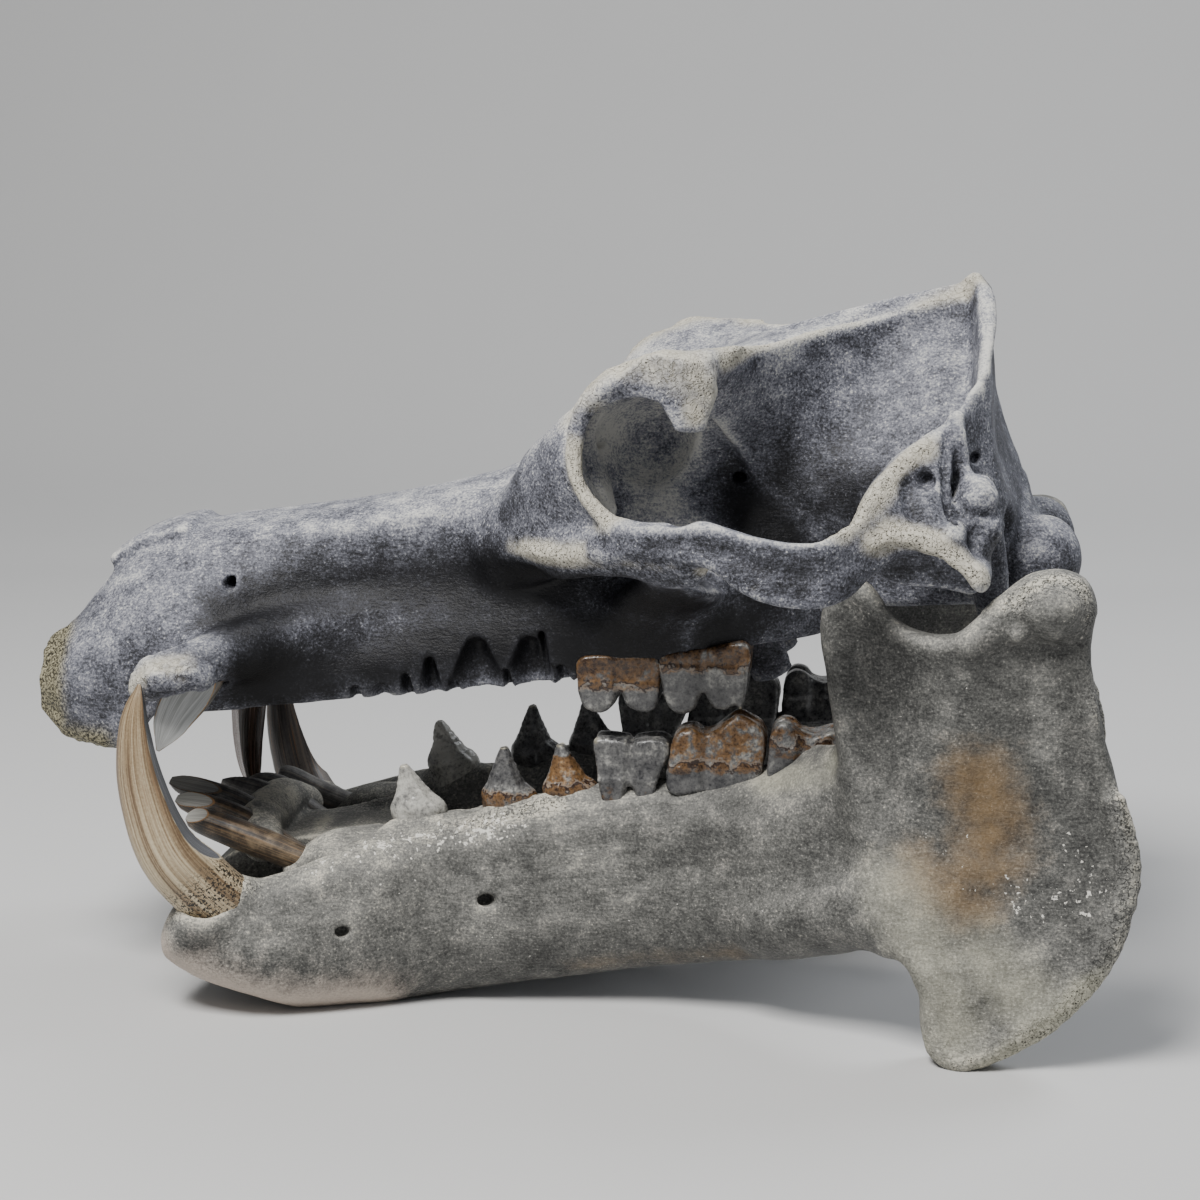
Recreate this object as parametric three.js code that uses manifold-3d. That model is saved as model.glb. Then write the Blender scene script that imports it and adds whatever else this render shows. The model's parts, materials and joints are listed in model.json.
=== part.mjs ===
// Skull and lower jaw of a fossil hippopotamus, in millimetres.
// +Z is up, the snout points to -X and the animal's left side faces -Y.
// z = 0 is the surface that the jaw stands on: its chin and its two angle hooks touch it.
//
// Each bone is a few closed solids that are joined and then parted with thin cuts:
//   loft   - rings of points carried from one end of a body to the other
//   bar    - an oval section carried along a smooth path
//   plate  - one outline swollen to a rounded plate, thin or thick over its face
//   ball   - a stretched sphere
import * as THREE from "three";
import { SimplifyModifier } from "three/addons/modifiers/SimplifyModifier.js";
import { mergeVertices } from "three/addons/utils/BufferGeometryUtils.js";
import Module from "manifold-3d";

const wasm = await Module();
wasm.setup();

// ---------------------------------------------------------------- driving sizes
const GAP = 0.35; // kept between two pieces that meet
const SNOUT_X = -313; // front of the premaxillae
const CUT_FACE_X = -22; // rostrum | face
const CUT_BRAIN_X = 126; // face | braincase
const CUT_OCCIPUT_X = 206; // braincase | occiput
const CUT_ARCH_FRONT_X = 68; // face | cheek arch
const CUT_ARCH_REAR_X = 160; // cheek arch | braincase
const ARCH_INNER_Y = 133; // the cheek arches lie outside this, and between these two heights
const ARCH_FLOOR_Z = 236;
const ARCH_TOP_Z = 322;
const CUT_CHIN_X = -74; // chin | jaw bodies, behind the joined part of the chin
const CUT_RAMUS_X = 160; // jaw body | ramus, which also has all above CUT_RAMUS_Z
const CUT_RAMUS_Z = 180;
const CENTRE_X = 2; // moves the middle of the whole skull over the origin
const OUT = 400; // beyond every part of the skull
const SIDES = { left: -1, right: 1 };
const CRANIUM_TRIANGLES = 3600; // kept after the joined bone is thinned
const JAW_TRIANGLES = 2100;

// ---------------------------------------------------------------- curves and solids
const v2 = (x, y) => new THREE.Vector2(x, y);
const v3 = (x, y, z) => new THREE.Vector3(x, y, z);

// A smooth line through [position, value] knots that never swings past a knot.
function line(knots) {
  const slope = (i) => (knots[i + 1][1] - knots[i][1]) / (knots[i + 1][0] - knots[i][0]);
  const tangent = knots.map((_, i) => {
    if (i === 0) return slope(0);
    if (i === knots.length - 1) return slope(i - 1);
    const before = slope(i - 1);
    const after = slope(i);
    return before * after <= 0 ? 0 : (2 * before * after) / (before + after);
  });
  return (x) => {
    if (x <= knots[0][0]) return knots[0][1];
    if (x >= knots.at(-1)[0]) return knots.at(-1)[1];
    const i = knots.findIndex((k, n) => x < knots[n + 1][0]);
    const span = knots[i + 1][0] - knots[i][0];
    const t = (x - knots[i][0]) / span;
    const rise = knots[i + 1][1] - knots[i][1];
    const a = tangent[i] * span - rise;
    const b = rise - tangent[i + 1] * span;
    return knots[i][1] + rise * t + t * (1 - t) * (a * (1 - t) + b * t);
  };
}

// Evenly spaced values from a to b, both included.
const spread = (a, b, count) => Array.from({ length: count + 1 }, (_, i) => a + ((b - a) * i) / count);

// A closed smooth ring through its corner points, with a few steps on each span.
function ring(corners, steps = 2) {
  const curve = new THREE.CatmullRomCurve3(corners, true, "centripetal");
  return curve.getPoints(corners.length * steps).slice(0, -1);
}

// A ring at a place x from the corners [y, z] of its left half, top first, mirrored to the right.
function mirrorRing(x, half, steps = 2) {
  const other = half.slice(1, -1).toReversed().map(([y, z]) => [-y, z]);
  return ring([...half, ...other].map(([y, z]) => v3(x, y, z)), steps);
}

// A solid from a list of rings of equal length, closed with a fan at each end.
function loft(rings) {
  const count = rings[0].length;
  const points = rings.flat();
  const triangles = [];
  for (let r = 0; r + 1 < rings.length; r++) {
    for (let i = 0; i < count; i++) {
      const a = r * count + i;
      const b = r * count + ((i + 1) % count);
      triangles.push(a, b, a + count, b, b + count, a + count);
    }
  }
  for (const [start, turned] of [[0, true], [(rings.length - 1) * count, false]]) {
    const middle = points.length;
    const centre = v3(0, 0, 0);
    for (let i = 0; i < count; i++) centre.addScaledVector(points[start + i], 1 / count);
    points.push(centre);
    for (let i = 0; i < count; i++) {
      const a = start + i;
      const b = start + ((i + 1) % count);
      triangles.push(...(turned ? [b, a, middle] : [a, b, middle]));
    }
  }
  return solid(points, triangles);
}

// A manifold from points and triangles, turned to face out if it faces in.
function solid(points, triangles) {
  const build = (order) =>
    new wasm.Manifold(
      new wasm.Mesh({
        numProp: 3,
        vertProperties: Float32Array.from(points.flatMap((p) => p.toArray())),
        triVerts: Uint32Array.from(order),
      }),
    );
  const made = build(triangles);
  return made.volume() > 0 ? made : build(triangles.toReversed());
}

// The manifold of a three.js geometry.
function fromGeometry(geometry) {
  const bare = geometry.clone();
  bare.deleteAttribute("normal");
  bare.deleteAttribute("uv");
  const merged = mergeVertices(bare, 1e-4);
  const position = merged.attributes.position;
  const points = Array.from({ length: position.count }, (_, i) => v3().fromBufferAttribute(position, i));
  const triangles = [];
  const index = merged.index.array;
  for (let i = 0; i < index.length; i += 3) {
    const [a, b, c] = index.slice(i, i + 3);
    if (a !== b && b !== c && c !== a) triangles.push(a, b, c);
  }
  return solid(points, triangles);
}

// The three.js geometry of a manifold.
function toGeometry(body) {
  const { numProp, vertProperties, triVerts } = body.getMesh();
  const count = vertProperties.length / numProp;
  const position = new Float32Array(count * 3);
  for (let i = 0; i < count; i++) position.set(vertProperties.slice(i * numProp, i * numProp + 3), i * 3);
  const geometry = new THREE.BufferGeometry();
  geometry.setAttribute("position", new THREE.BufferAttribute(position, 3));
  return geometry.setIndex(new THREE.BufferAttribute(triVerts, 1));
}

// The same solid with fewer triangles: points go where the surface is flattest.
async function thinned(body, triangles) {
  const geometry = toGeometry(body);
  const count = geometry.attributes.position.count;
  const extra = Math.round(count * (1 - triangles / body.numTri()));
  return fromGeometry(await new SimplifyModifier().modify(geometry, extra));
}

// A stretched sphere, tipped about Y by a number of degrees.
function ball(centre, radii, tip = 0, around = 16, down = 10) {
  const geometry = new THREE.SphereGeometry(1, around, down);
  geometry.rotateX(Math.PI / 2);
  geometry.scale(...radii);
  geometry.rotateY(THREE.MathUtils.degToRad(tip));
  geometry.translate(...centre);
  return fromGeometry(geometry);
}

// An oval section carried along a smooth path. across and tall give its half width and half height
// at a share t of the way, and up says which way the height points.
function bar(path, across, tall, { up = v3(0, 0, 1), steps = 8, around = 12, square = 0.85 } = {}) {
  const curve = new THREE.CatmullRomCurve3(path.map((p) => v3(...p)), false, "centripetal");
  const rings = spread(0, 1, steps).map((t) => {
    const along = curve.getTangent(t);
    const side = v3().crossVectors(along, up).normalize();
    const rise = v3().crossVectors(side, along);
    const middle = curve.getPoint(t);
    return Array.from({ length: around }, (_, i) => {
      const angle = (2 * Math.PI * i) / around;
      const [c, s] = [Math.cos(angle), Math.sin(angle)];
      const bulge = (q) => Math.sign(q) * Math.abs(q) ** square;
      return middle
        .clone()
        .addScaledVector(side, bulge(c) * across(t))
        .addScaledVector(rise, bulge(s) * tall(t));
    });
  });
  return loft(rings);
}

// The turning of a bar that stands upright: its height then points along X.
const UPRIGHT = { up: v3(1, 0, 0), steps: 4 };

// A rounded plate in the XZ plane. outline is its edge, centre the point that it swells about, thick(s)
// the half thickness at a share s of the way from the centre to the edge, and lean(x, z) the y of its middle.
function plate(outline, centre, thick, lean, shares = [0.2, 0.4, 0.6, 0.78, 0.9, 0.97]) {
  const middle = v2(...centre);
  const faceRing = (share, sign) =>
    outline.map((p) => {
      const at = middle.clone().lerp(p, share);
      return v3(at.x, lean(at.x, at.y) + sign * thick(share), at.y);
    });
  const near = shares.map((share) => faceRing(share, -1));
  const rim = faceRing(1, 0);
  const far = shares.toReversed().map((share) => faceRing(share, 1));
  return loft([...near, rim, ...far]);
}

const join = (...solids) => wasm.Manifold.union(solids.flat(3));
const mirrored = (make) => Object.values(SIDES).map(make);

// The part of a solid inside a box, which is how a bone is parted.
function inside(body, [x0, x1], [y0, y1] = [-OUT, OUT], [z0, z1] = [-OUT, 2 * OUT]) {
  const box = new THREE.BoxGeometry(x1 - x0, y1 - y0, z1 - z0);
  box.translate((x0 + x1) / 2, (y0 + y1) / 2, (z0 + z1) / 2);
  return body.intersect(fromGeometry(box));
}

// ---------------------------------------------------------------- cranium
// The long core of the skull, from the snout to the back of the braincase. Each line gives one size at a
// place x along it, and they make six corners of a half section that is mirrored.
const BRAIN_REAR_X = 256;
const roof = line([
  [SNOUT_X, 198], [-300, 212], [-284, 238], [-262, 255], [-221, 268], [-172, 275], [-112, 285], [-52, 300],
  [-14, 320], [24, 348], [56, 366], [108, 380], [200, 396], [218, 400], [232, 335], [BRAIN_REAR_X, 290],
]);
const roofHalf = line([
  [SNOUT_X, 46], [-112, 46], [-30, 48], [20, 58], [62, 60], [90, 40], [120, 16], [216, 26],
  [BRAIN_REAR_X, 20],
]);
const roofDrop = line([[SNOUT_X, 2], [-250, 6], [-112, 9], [216, 12], [BRAIN_REAR_X, 6]]);
const waistHalf = line([
  [SNOUT_X, 62], [-285, 80], [-225, 84], [-180, 68], [-112, 56], [-50, 57], [0, 62], [40, 52], [80, 42],
  [108, 42], [150, 54], [200, 74], [226, 76], [BRAIN_REAR_X, 44],
]);
const waistAt = line([
  [SNOUT_X, 180], [-225, 222], [-112, 236], [-8, 262], [50, 300], [200, 318], [226, 310], [BRAIN_REAR_X, 272],
]);
const gumHalf = line([
  [SNOUT_X, 58], [-285, 76], [-225, 90], [-180, 76], [-112, 63], [-30, 68], [40, 78], [90, 74], [120, 48],
  [200, 66], [226, 68], [BRAIN_REAR_X, 38],
]);
const gumAt = line([
  [SNOUT_X, 160], [-298, 146], [-262, 144], [-240, 164], [-190, 168], [-98, 176], [40, 182], [80, 196],
  [112, 224], [140, 236], [BRAIN_REAR_X, 232],
]);
const palateAt = line([
  [SNOUT_X, 168], [-225, 172], [-98, 186], [40, 204], [80, 212], [112, 234], [BRAIN_REAR_X, 234],
]);

function coreRing(x) {
  return mirrorRing(x, [
    [0, roof(x)],
    [roofHalf(x), roof(x) - roofDrop(x)],
    [waistHalf(x), waistAt(x)],
    [gumHalf(x), (waistAt(x) + 2 * gumAt(x)) / 3],
    [gumHalf(x) - 8, gumAt(x)],
    [0, palateAt(x)],
  ]);
}

const core = () => loft(spread(SNOUT_X, BRAIN_REAR_X, 36).map(coreRing));

const sagittalCrest = () =>
  bar([[96, 0, 374], [130, 0, 384], [175, 0, 397], [226, 0, 408]], () => 6, (t) => 9 + 3 * t, { steps: 6 });

// The crest that fans out behind the temples, from the peak down to the ear.
const nuchalCrest = (s) =>
  bar(
    [
      [225, 0, 408], [227, s * 40, 392], [226, s * 72, 366], [218, s * 98, 340], [206, s * 116, 322],
      [192, s * 130, 314],
    ],
    (t) => 5 + 5 * t,
    (t) => 9 + 3 * t,
    { up: v3(-0.3, 0, 1), steps: 8 },
  );

// The back wall of the skull behind that crest, as a shield that shrinks towards the condyles.
const occiput = () => {
  const shield = [[0, 400], [44, 380], [78, 350], [102, 314], [102, 284], [70, 252], [30, 240], [0, 238]];
  const wall = [[198, 0.72], [212, 1.0], [223, 0.97], [240, 0.55]];
  return loft(
    wall.map(([x, share]) => {
      const shrunk = shield.map(([y, z]) => [y * share, 300 + (z - 300) * share]);
      return mirrorRing(x, shrunk, 1);
    }),
  );
};

const condyle = (s) => ball([266, s * 37, 262], [20, 22, 28], 24);
const magnum = () => ball([280, 0, 272], [36, 18, 19]);
const mastoid = (s) => ball([212, s * 108, 296], [20, 17, 22]);
const paroccipital = (s) =>
  bar(
    [[222, s * 88, 290], [230, s * 84, 262], [234, s * 80, 232]],
    (t) => 13 - 5 * t,
    (t) => 16 - 8 * t,
    UPRIGHT,
  );

// The raised ring round the eye, open behind, from the hooked tip over the eye and down to the cheek.
const eyeRing = (s) =>
  bar(
    [
      [73, s * 124, 340], [66, s * 119, 360], [48, s * 117, 373], [28, s * 115, 366], [14, s * 119, 348],
      [9, s * 124, 325], [14, s * 129, 303], [31, s * 134, 288], [56, s * 141, 280],
    ],
    (t) => 5 + 4 * Math.sin(Math.PI * t),
    (t) => 5 + 3 * Math.sin(Math.PI * t),
    { up: v3(0, s, 0), steps: 18 },
  );

// The roof over the eye, and the line that runs back from it to the crest.
const brow = (s) => [
  bar(
    [[34, s * 34, 348], [44, s * 78, 364], [46, s * 114, 369]],
    (t) => 40 - 12 * t,
    (t) => 14 - 6 * t,
    { steps: 4 },
  ),
  bar(
    [[62, s * 116, 364], [80, s * 94, 373], [96, s * 62, 378], [110, s * 30, 380]],
    () => 9,
    () => 9,
    { steps: 5 },
  ),
];

// The cheek: a flare from the side of the snout to the front of the eye ring, the root of the arch below
// it, and the buttress that rises from the back teeth.
const cheek = (s) => [
  bar(
    [[-66, s * 44, 268], [-34, s * 62, 280], [-6, s * 84, 298], [16, s * 98, 312]],
    (t) => 8 + 24 * t,
    (t) => 10 + 28 * t,
    { steps: 4 },
  ),
  bar(
    [[-34, s * 58, 262], [4, s * 98, 276], [36, s * 126, 277], [72, s * 146, 274]],
    (t) => 18 - 6 * t,
    (t) => 20 - 4 * t,
    { steps: 6 },
  ),
  bar(
    [[48, s * 52, 216], [60, s * 88, 244], [72, s * 124, 264]],
    (t) => 36 - 10 * t,
    (t) => 22 - 10 * t,
    { steps: 4 },
  ),
];

// The cheek arch, from below the eye back to the jaw joint and up to the ear.
const arch = (s) =>
  bar(
    [
      [52, s * 138, 274], [84, s * 154, 275], [122, s * 166, 270], [150, s * 168, 272], [174, s * 160, 292],
      [190, s * 142, 313], [204, s * 118, 326],
    ],
    (t) => 9 + 2 * t,
    (t) => 16 - 3 * Math.sin(Math.PI * t),
    { steps: 10 },
  );

// The socket plate for the jaw, which hangs under the rear end of the arch.
const jointPlate = (s) => [
  bar(
    [[200, s * 78, 286], [196, s * 118, 286], [188, s * 158, 284]],
    (t) => 26 - 4 * t,
    (t) => 15 - 4 * t,
    { steps: 4 },
  ),
  bar([[212, s * 92, 280], [224, s * 122, 268], [225, s * 150, 270]], () => 8, () => 9, { steps: 4 }),
];

// The swelling that holds the root of the upper tusk.
const tuskSocket = (s) => {
  const swell = (t) => (t < 0.9 ? 14 + 8 * t : 13);
  const root = [[-130, s * 56, 222], [-165, s * 72, 214], [-200, s * 92, 203], [-241, s * 105, 189]];
  return bar(root, swell, swell);
};

const noseHole = () => ball([-322, 0, 208], [86, 38, 27], -6);
const throatHole = () => ball([142, 0, 222], [44, 22, 20]);
const pterygoid = (s) =>
  bar(
    [[90, s * 38, 232], [100, s * 38, 208], [111, s * 34, 190]],
    (t) => 8 - 3 * t,
    (t) => 22 - 9 * t,
    UPRIGHT,
  );

// ---------------------------------------------------------------- teeth
// A cheek tooth: a block with rounded corners that narrows to a row of cusps.
function molar([x, y, z], long, wide, tall, point = 1) {
  const shape = (grow, rise) =>
    Array.from({ length: 8 }, (_, i) => {
      const angle = (2 * Math.PI * (i + 0.5)) / 8;
      const [c, s] = [Math.cos(angle), Math.sin(angle)];
      return v3(
        x + (Math.sign(c) * Math.abs(c) ** 0.6 * long * grow) / 2,
        y + (Math.sign(s) * Math.abs(s) ** 0.6 * wide * grow) / 2,
        z + point * rise,
      );
    });
  return loft([shape(0.84, -6), shape(1, tall * 0.25), shape(0.96, tall * 0.6), shape(0.6, tall)]);
}

// A premolar: a cone that leans a little.
const premolar = ([x, y, z], radius, tall) =>
  loft(
    [[-6, 0.8], [tall * 0.2, 1], [tall * 0.7, 0.6], [tall, 0.14]].map(([rise, grow]) =>
      Array.from({ length: 8 }, (_, i) => {
        const angle = (2 * Math.PI * i) / 8;
        return v3(x + Math.cos(angle) * radius * grow, y + Math.sin(angle) * radius * 0.8 * grow, z + rise);
      }),
    ),
  );

// Places along the jaws: [x, half distance apart, gum height, length, width, crown height]
const upperMolars = [[31, 60, 187, 42, 34, 16], [75, 60, 196, 46, 36, 30], [106, 54, 214, 28, 30, 28]];
const lowerMolars = [[33, 58, 128, 40, 30, 22], [82, 62, 136, 52, 34, 26], [132, 68, 150, 44, 32, 26]];
// [x, half distance apart, gum height, radius, crown height]
const lowerPremolars = [[-93, 54, 106, 15, 28], [-36, 52, 114, 13, 34], [-6, 54, 121, 14, 28]];

const upperTeeth = (s) =>
  upperMolars.map(([x, y, z, long, wide, tall]) => molar([x, s * y, z], long, wide, tall, -1));
const lowerTeeth = (s) => [
  ...lowerMolars.map(([x, y, z, long, wide, tall]) => molar([x, s * y, z], long, wide, tall)),
  ...lowerPremolars.map(([x, y, z, radius, tall]) => premolar([x, s * y, z], radius, tall)),
];

// ---------------------------------------------------------------- lower jaw
const BODY_FRONT_X = -236;
const BODY_REAR_X = 190;
const bodyTop = line([
  [BODY_FRONT_X, 54], [-205, 68], [-183, 78], [-155, 90], [-122, 103], [-60, 110], [16, 127], [60, 133],
  [110, 143], [150, 164], [BODY_REAR_X, 140],
]);
const bodyFloor = line([
  [-232, 32], [-213, 18], [-184, 8], [-150, -1], [-108, -1], [-74, 2], [-28, 10], [17, 17], [64, 25],
  [110, 34], [150, 46], [BODY_REAR_X, 64],
]);
const toothRow = line([
  [BODY_FRONT_X, 98], [-170, 100], [-122, 82], [-93, 57], [-36, 53], [33, 58], [82, 62], [126, 72],
  [150, 100], [BODY_REAR_X, 126],
]);
const bodyMiddle = line([
  [BODY_FRONT_X, 98], [-190, 98], [-120, 84], [-60, 66], [20, 66], [90, 76], [150, 104], [BODY_REAR_X, 126],
]);
const bodyHalf = line([
  [BODY_FRONT_X, 14], [-205, 30], [-180, 33], [-150, 31], [-80, 22], [20, 21], [110, 22], [150, 18],
  [BODY_REAR_X, 9],
]);

function bodyRing(x, s) {
  const [top, floor, half, middle, row] = [bodyTop(x), bodyFloor(x), bodyHalf(x), bodyMiddle(x), toothRow(x)];
  const tall = (top - floor) / 2;
  return ring(
    [
      [row, top], [Math.max(row + 13, middle + 0.7 * half), top - tall * 0.3],
      [middle + half, floor + tall * 0.9], [middle + 0.8 * half, floor + tall * 0.3],
      [middle, floor], [middle - 0.7 * half, floor + tall * 0.3],
      [middle - 0.9 * half, floor + tall * 0.9], [row - 13, top - tall * 0.3],
    ].map(([y, z]) => v3(x, s * y, z)),
  );
}

const jawBody = (s) => loft(spread(BODY_FRONT_X, BODY_REAR_X, 24).map((x) => bodyRing(x, s)));

// The chin: one profile carried across from side to side.
const CHIN_HALF = 90;
const chin = () => {
  const corners = [
    [-238, 38], [-222, 64], [-196, 80], [-150, 84], [-112, 90], [-88, 86], [-82, 66], [-104, 32], [-150, 10],
    [-206, 14],
  ];
  const profile = ring(corners.map(([x, z]) => v3(x, 0, z)));
  return loft(spread(-CHIN_HALF, CHIN_HALF, 10).map((y) => profile.map((p) => v3(p.x, y, p.z))));
};

// The ramus: the tall plate behind the teeth, with the jaw joint above and the angle's hook below.
const ramusOutline = () => {
  const corners = [
    [160, 110], [154, 145], [150, 168], [146, 196], [141, 222], [142, 246], [152, 266], [166, 276], [180, 266],
    [188, 246], [200, 236], [228, 240], [244, 254], [262, 268], [280, 266], [286, 248], [286, 222], [294, 184],
    [301, 158], [309, 120], [306, 92], [296, 64], [281, 39], [262, 21], [242, 7], [222, -2], [205, 4], [199, 20],
    [198, 40], [190, 54], [176, 57], [168, 76],
  ];
  const curve = new THREE.CatmullRomCurve3(corners.map(([x, z]) => v3(x, z, 0)), true, "centripetal");
  return curve.getPoints(64).slice(0, -1).map((p) => v2(p.x, p.y));
};

const ramusThick = line([[0, 8], [0.5, 9], [0.8, 12], [0.97, 9], [1, 0]]);
const ramusLean = (x, z) => 108 + 36 * THREE.MathUtils.smoothstep(x, 120, 225) + 0.04 * (130 - z);

const ramus = (s) =>
  plate(ramusOutline(), [232, 132], ramusThick, (x, z) => s * ramusLean(x, z));

const jawCondyle = (s) => ball([268, s * 142, 258], [16, 33, 15]);

// ---------------------------------------------------------------- tusks and incisors
// Each of these stands in a socket: the same shape, swollen by the gap, is cut from the bone round it.
const LOWER_TUSK_PATH = {
  left: [
    [-184, 113, 56], [-204, 119, 72], [-222, 125, 100], [-233, 128, 136], [-236, 130, 168], [-234, 130, 194],
  ],
  right: [
    [-178, 113, 50], [-193, 118, 62], [-206, 123, 84], [-213, 126, 112], [-216, 127, 134], [-215, 127, 156],
  ],
};
const lowerTusk = (s, swell = 0) =>
  bar(
    LOWER_TUSK_PATH[s < 0 ? "left" : "right"].map(([x, y, z]) => [x, s * y, z]),
    (t) => swell + 2 + 14 * (1 - t ** 3),
    (t) => swell + 1.5 + 19 * (1 - t ** 2.2),
    { up: v3(1, 0, 0), steps: 10, around: 10 },
  );

// The left upper tusk is worn short, the right one is long.
const upperTusk = (s, swell = 0) =>
  s === SIDES.left
    ? bar(
        [[-212, s * 97, 202], [-220, s * 105, 180], [-226, s * 111, 154]],
        (t) => swell + 14 - 11 * t ** 2,
        (t) => swell + 16 - 13 * t ** 1.5,
        UPRIGHT,
      )
    : bar(
        [[-214, s * 94, 198], [-229, s * 96, 158], [-233, s * 97, 120], [-233, s * 97, 74]],
        (t) => swell + 13 - 8 * t ** 3,
        (t) => swell + 14 - 10 * t ** 3,
        { ...UPRIGHT, steps: 6 },
      );

// Six lower incisors lie forward from the front of the chin: [name, half distance apart, height of the tip].
// The right ones are broken short.
const INCISORS = [["first", 15, 106], ["second", 38, 104], ["third", 62, 103]];
const INCISOR_TIP_X = { left: -246, right: -226 };
const incisor = (s, [, y, tip], swell = 0) =>
  bar(
    s < 0
      ? [[-184, s * y, 79], [-205, s * y, 89], [-226, s * (y + 1), 97], [INCISOR_TIP_X.left, s * (y + 2), tip]]
      : [[-184, s * y, 79], [-205, s * y, 88], [INCISOR_TIP_X.right, s * (y + 1), tip - 10]],
    (t) => swell + 8.5 - 4 * t ** 4,
    (t) => swell + 8.5 - 5 * t ** 4,
    { steps: 4, around: 7 },
  );

// ---------------------------------------------------------------- the two bones, whole
const craniumWhole = () =>
  join(
    core(), sagittalCrest(), occiput(),
    mirrored((s) => [
      nuchalCrest(s), condyle(s), mastoid(s), paroccipital(s), eyeRing(s), brow(s), cheek(s), arch(s),
      jointPlate(s), tuskSocket(s), pterygoid(s), upperTeeth(s),
    ]),
  ).subtract(join(noseHole(), throatHole(), magnum()));

const jawWhole = () => join(chin(), mirrored((s) => [jawBody(s), ramus(s), jawCondyle(s), lowerTeeth(s)]));

const upperSockets = () => join(mirrored((s) => upperTusk(s, GAP)));
const lowerSockets = () =>
  join(mirrored((s) => [lowerTusk(s, GAP), INCISORS.map((row) => incisor(s, row, GAP))]));

// ---------------------------------------------------------------- the model
const bone = new THREE.MeshStandardMaterial({ color: 0x5b626d, roughness: 0.8, metalness: 0 });
const jawBone = new THREE.MeshStandardMaterial({ color: 0x7b7a70, roughness: 0.82, metalness: 0 });
const ivory = new THREE.MeshStandardMaterial({ color: 0xc3a57e, roughness: 0.45, metalness: 0 });
const brownIvory = new THREE.MeshStandardMaterial({ color: 0x4a3526, roughness: 0.3, metalness: 0 });

const skull = new THREE.Group();
skull.position.x = CENTRE_X;

function addPart(name, body, material) {
  const mesh = new THREE.Mesh(toGeometry(body), material);
  mesh.name = name;
  skull.add(mesh);
}

// The stretch of a bone between two cuts, with half the gap kept at each.
const between = (body, x0, x1) => inside(body, [x0 + GAP / 2, x1 - GAP / 2]);

const cranium = (await thinned(craniumWhole(), CRANIUM_TRIANGLES)).subtract(upperSockets());
const archBox = (s, grow) => {
  const [x0, x1] = [CUT_ARCH_FRONT_X - grow, CUT_ARCH_REAR_X + grow];
  const [z0, z1] = [ARCH_FLOOR_Z - grow, ARCH_TOP_Z + grow];
  const box = new THREE.BoxGeometry(x1 - x0, OUT, z1 - z0);
  box.translate((x0 + x1) / 2, s * (ARCH_INNER_Y - grow + OUT / 2), (z0 + z1) / 2);
  return fromGeometry(box);
};
const upper = cranium.subtract(join(mirrored((s) => archBox(s, GAP / 2))));
addPart("rostrum", between(upper, -OUT, CUT_FACE_X), bone);
addPart("face", between(upper, CUT_FACE_X, CUT_BRAIN_X), bone);
addPart("braincase", between(upper, CUT_BRAIN_X, CUT_OCCIPUT_X), bone);
addPart("occiput", between(upper, CUT_OCCIPUT_X, OUT), bone);

const jawThin = (await thinned(jawWhole(), JAW_TRIANGLES)).subtract(lowerSockets());
const jaw = inside(jawThin, [-OUT, OUT], [-OUT, OUT], [0, OUT]); // flat where it stands on the floor
addPart("chin", between(jaw, -OUT, CUT_CHIN_X), jawBone);

for (const [name, s] of Object.entries(SIDES)) {
  const own = s < 0 ? [-OUT, 0] : [0, OUT];
  addPart(`cheek_arch_${name}`, cranium.intersect(archBox(s, -GAP / 2)), bone);
  const behindChin = inside(jaw, [CUT_CHIN_X + GAP / 2, OUT], own);
  const belowHead = [-OUT, CUT_RAMUS_Z - GAP / 2];
  addPart(`jaw_${name}`, inside(behindChin, [-OUT, CUT_RAMUS_X - GAP / 2], own, belowHead), jawBone);
  const aboveBody = inside(behindChin, [-OUT, OUT], own, [CUT_RAMUS_Z + GAP / 2, OUT]);
  addPart(`ramus_${name}`, aboveBody.add(inside(behindChin, [CUT_RAMUS_X + GAP / 2, OUT], own)), jawBone);
  addPart(`lower_tusk_${name}`, lowerTusk(s), ivory);
  addPart(`upper_tusk_${name}`, upperTusk(s), s < 0 ? ivory : brownIvory);
  for (const row of INCISORS) addPart(`incisor_${row[0]}_${name}`, incisor(s, row), ivory);
}

export default skull;
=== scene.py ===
# %% [markdown]
# # A fossil hippopotamus skull
#
# The skull is two bones: the cranium and the lower jaw. Its tusks, incisors and cheek teeth stand in them.
# A skull has arches, sockets and holes, so no single sheet of points can wrap it. The bones are therefore
# made as *distance fields*: a block of numbers that says how far each point of space is from the surface.
# Simple solids melt into each other there, and hollows are carved out. The tusks and incisors are
# ordinary surfaces, a function of two parameters each.

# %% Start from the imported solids
import json

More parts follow.
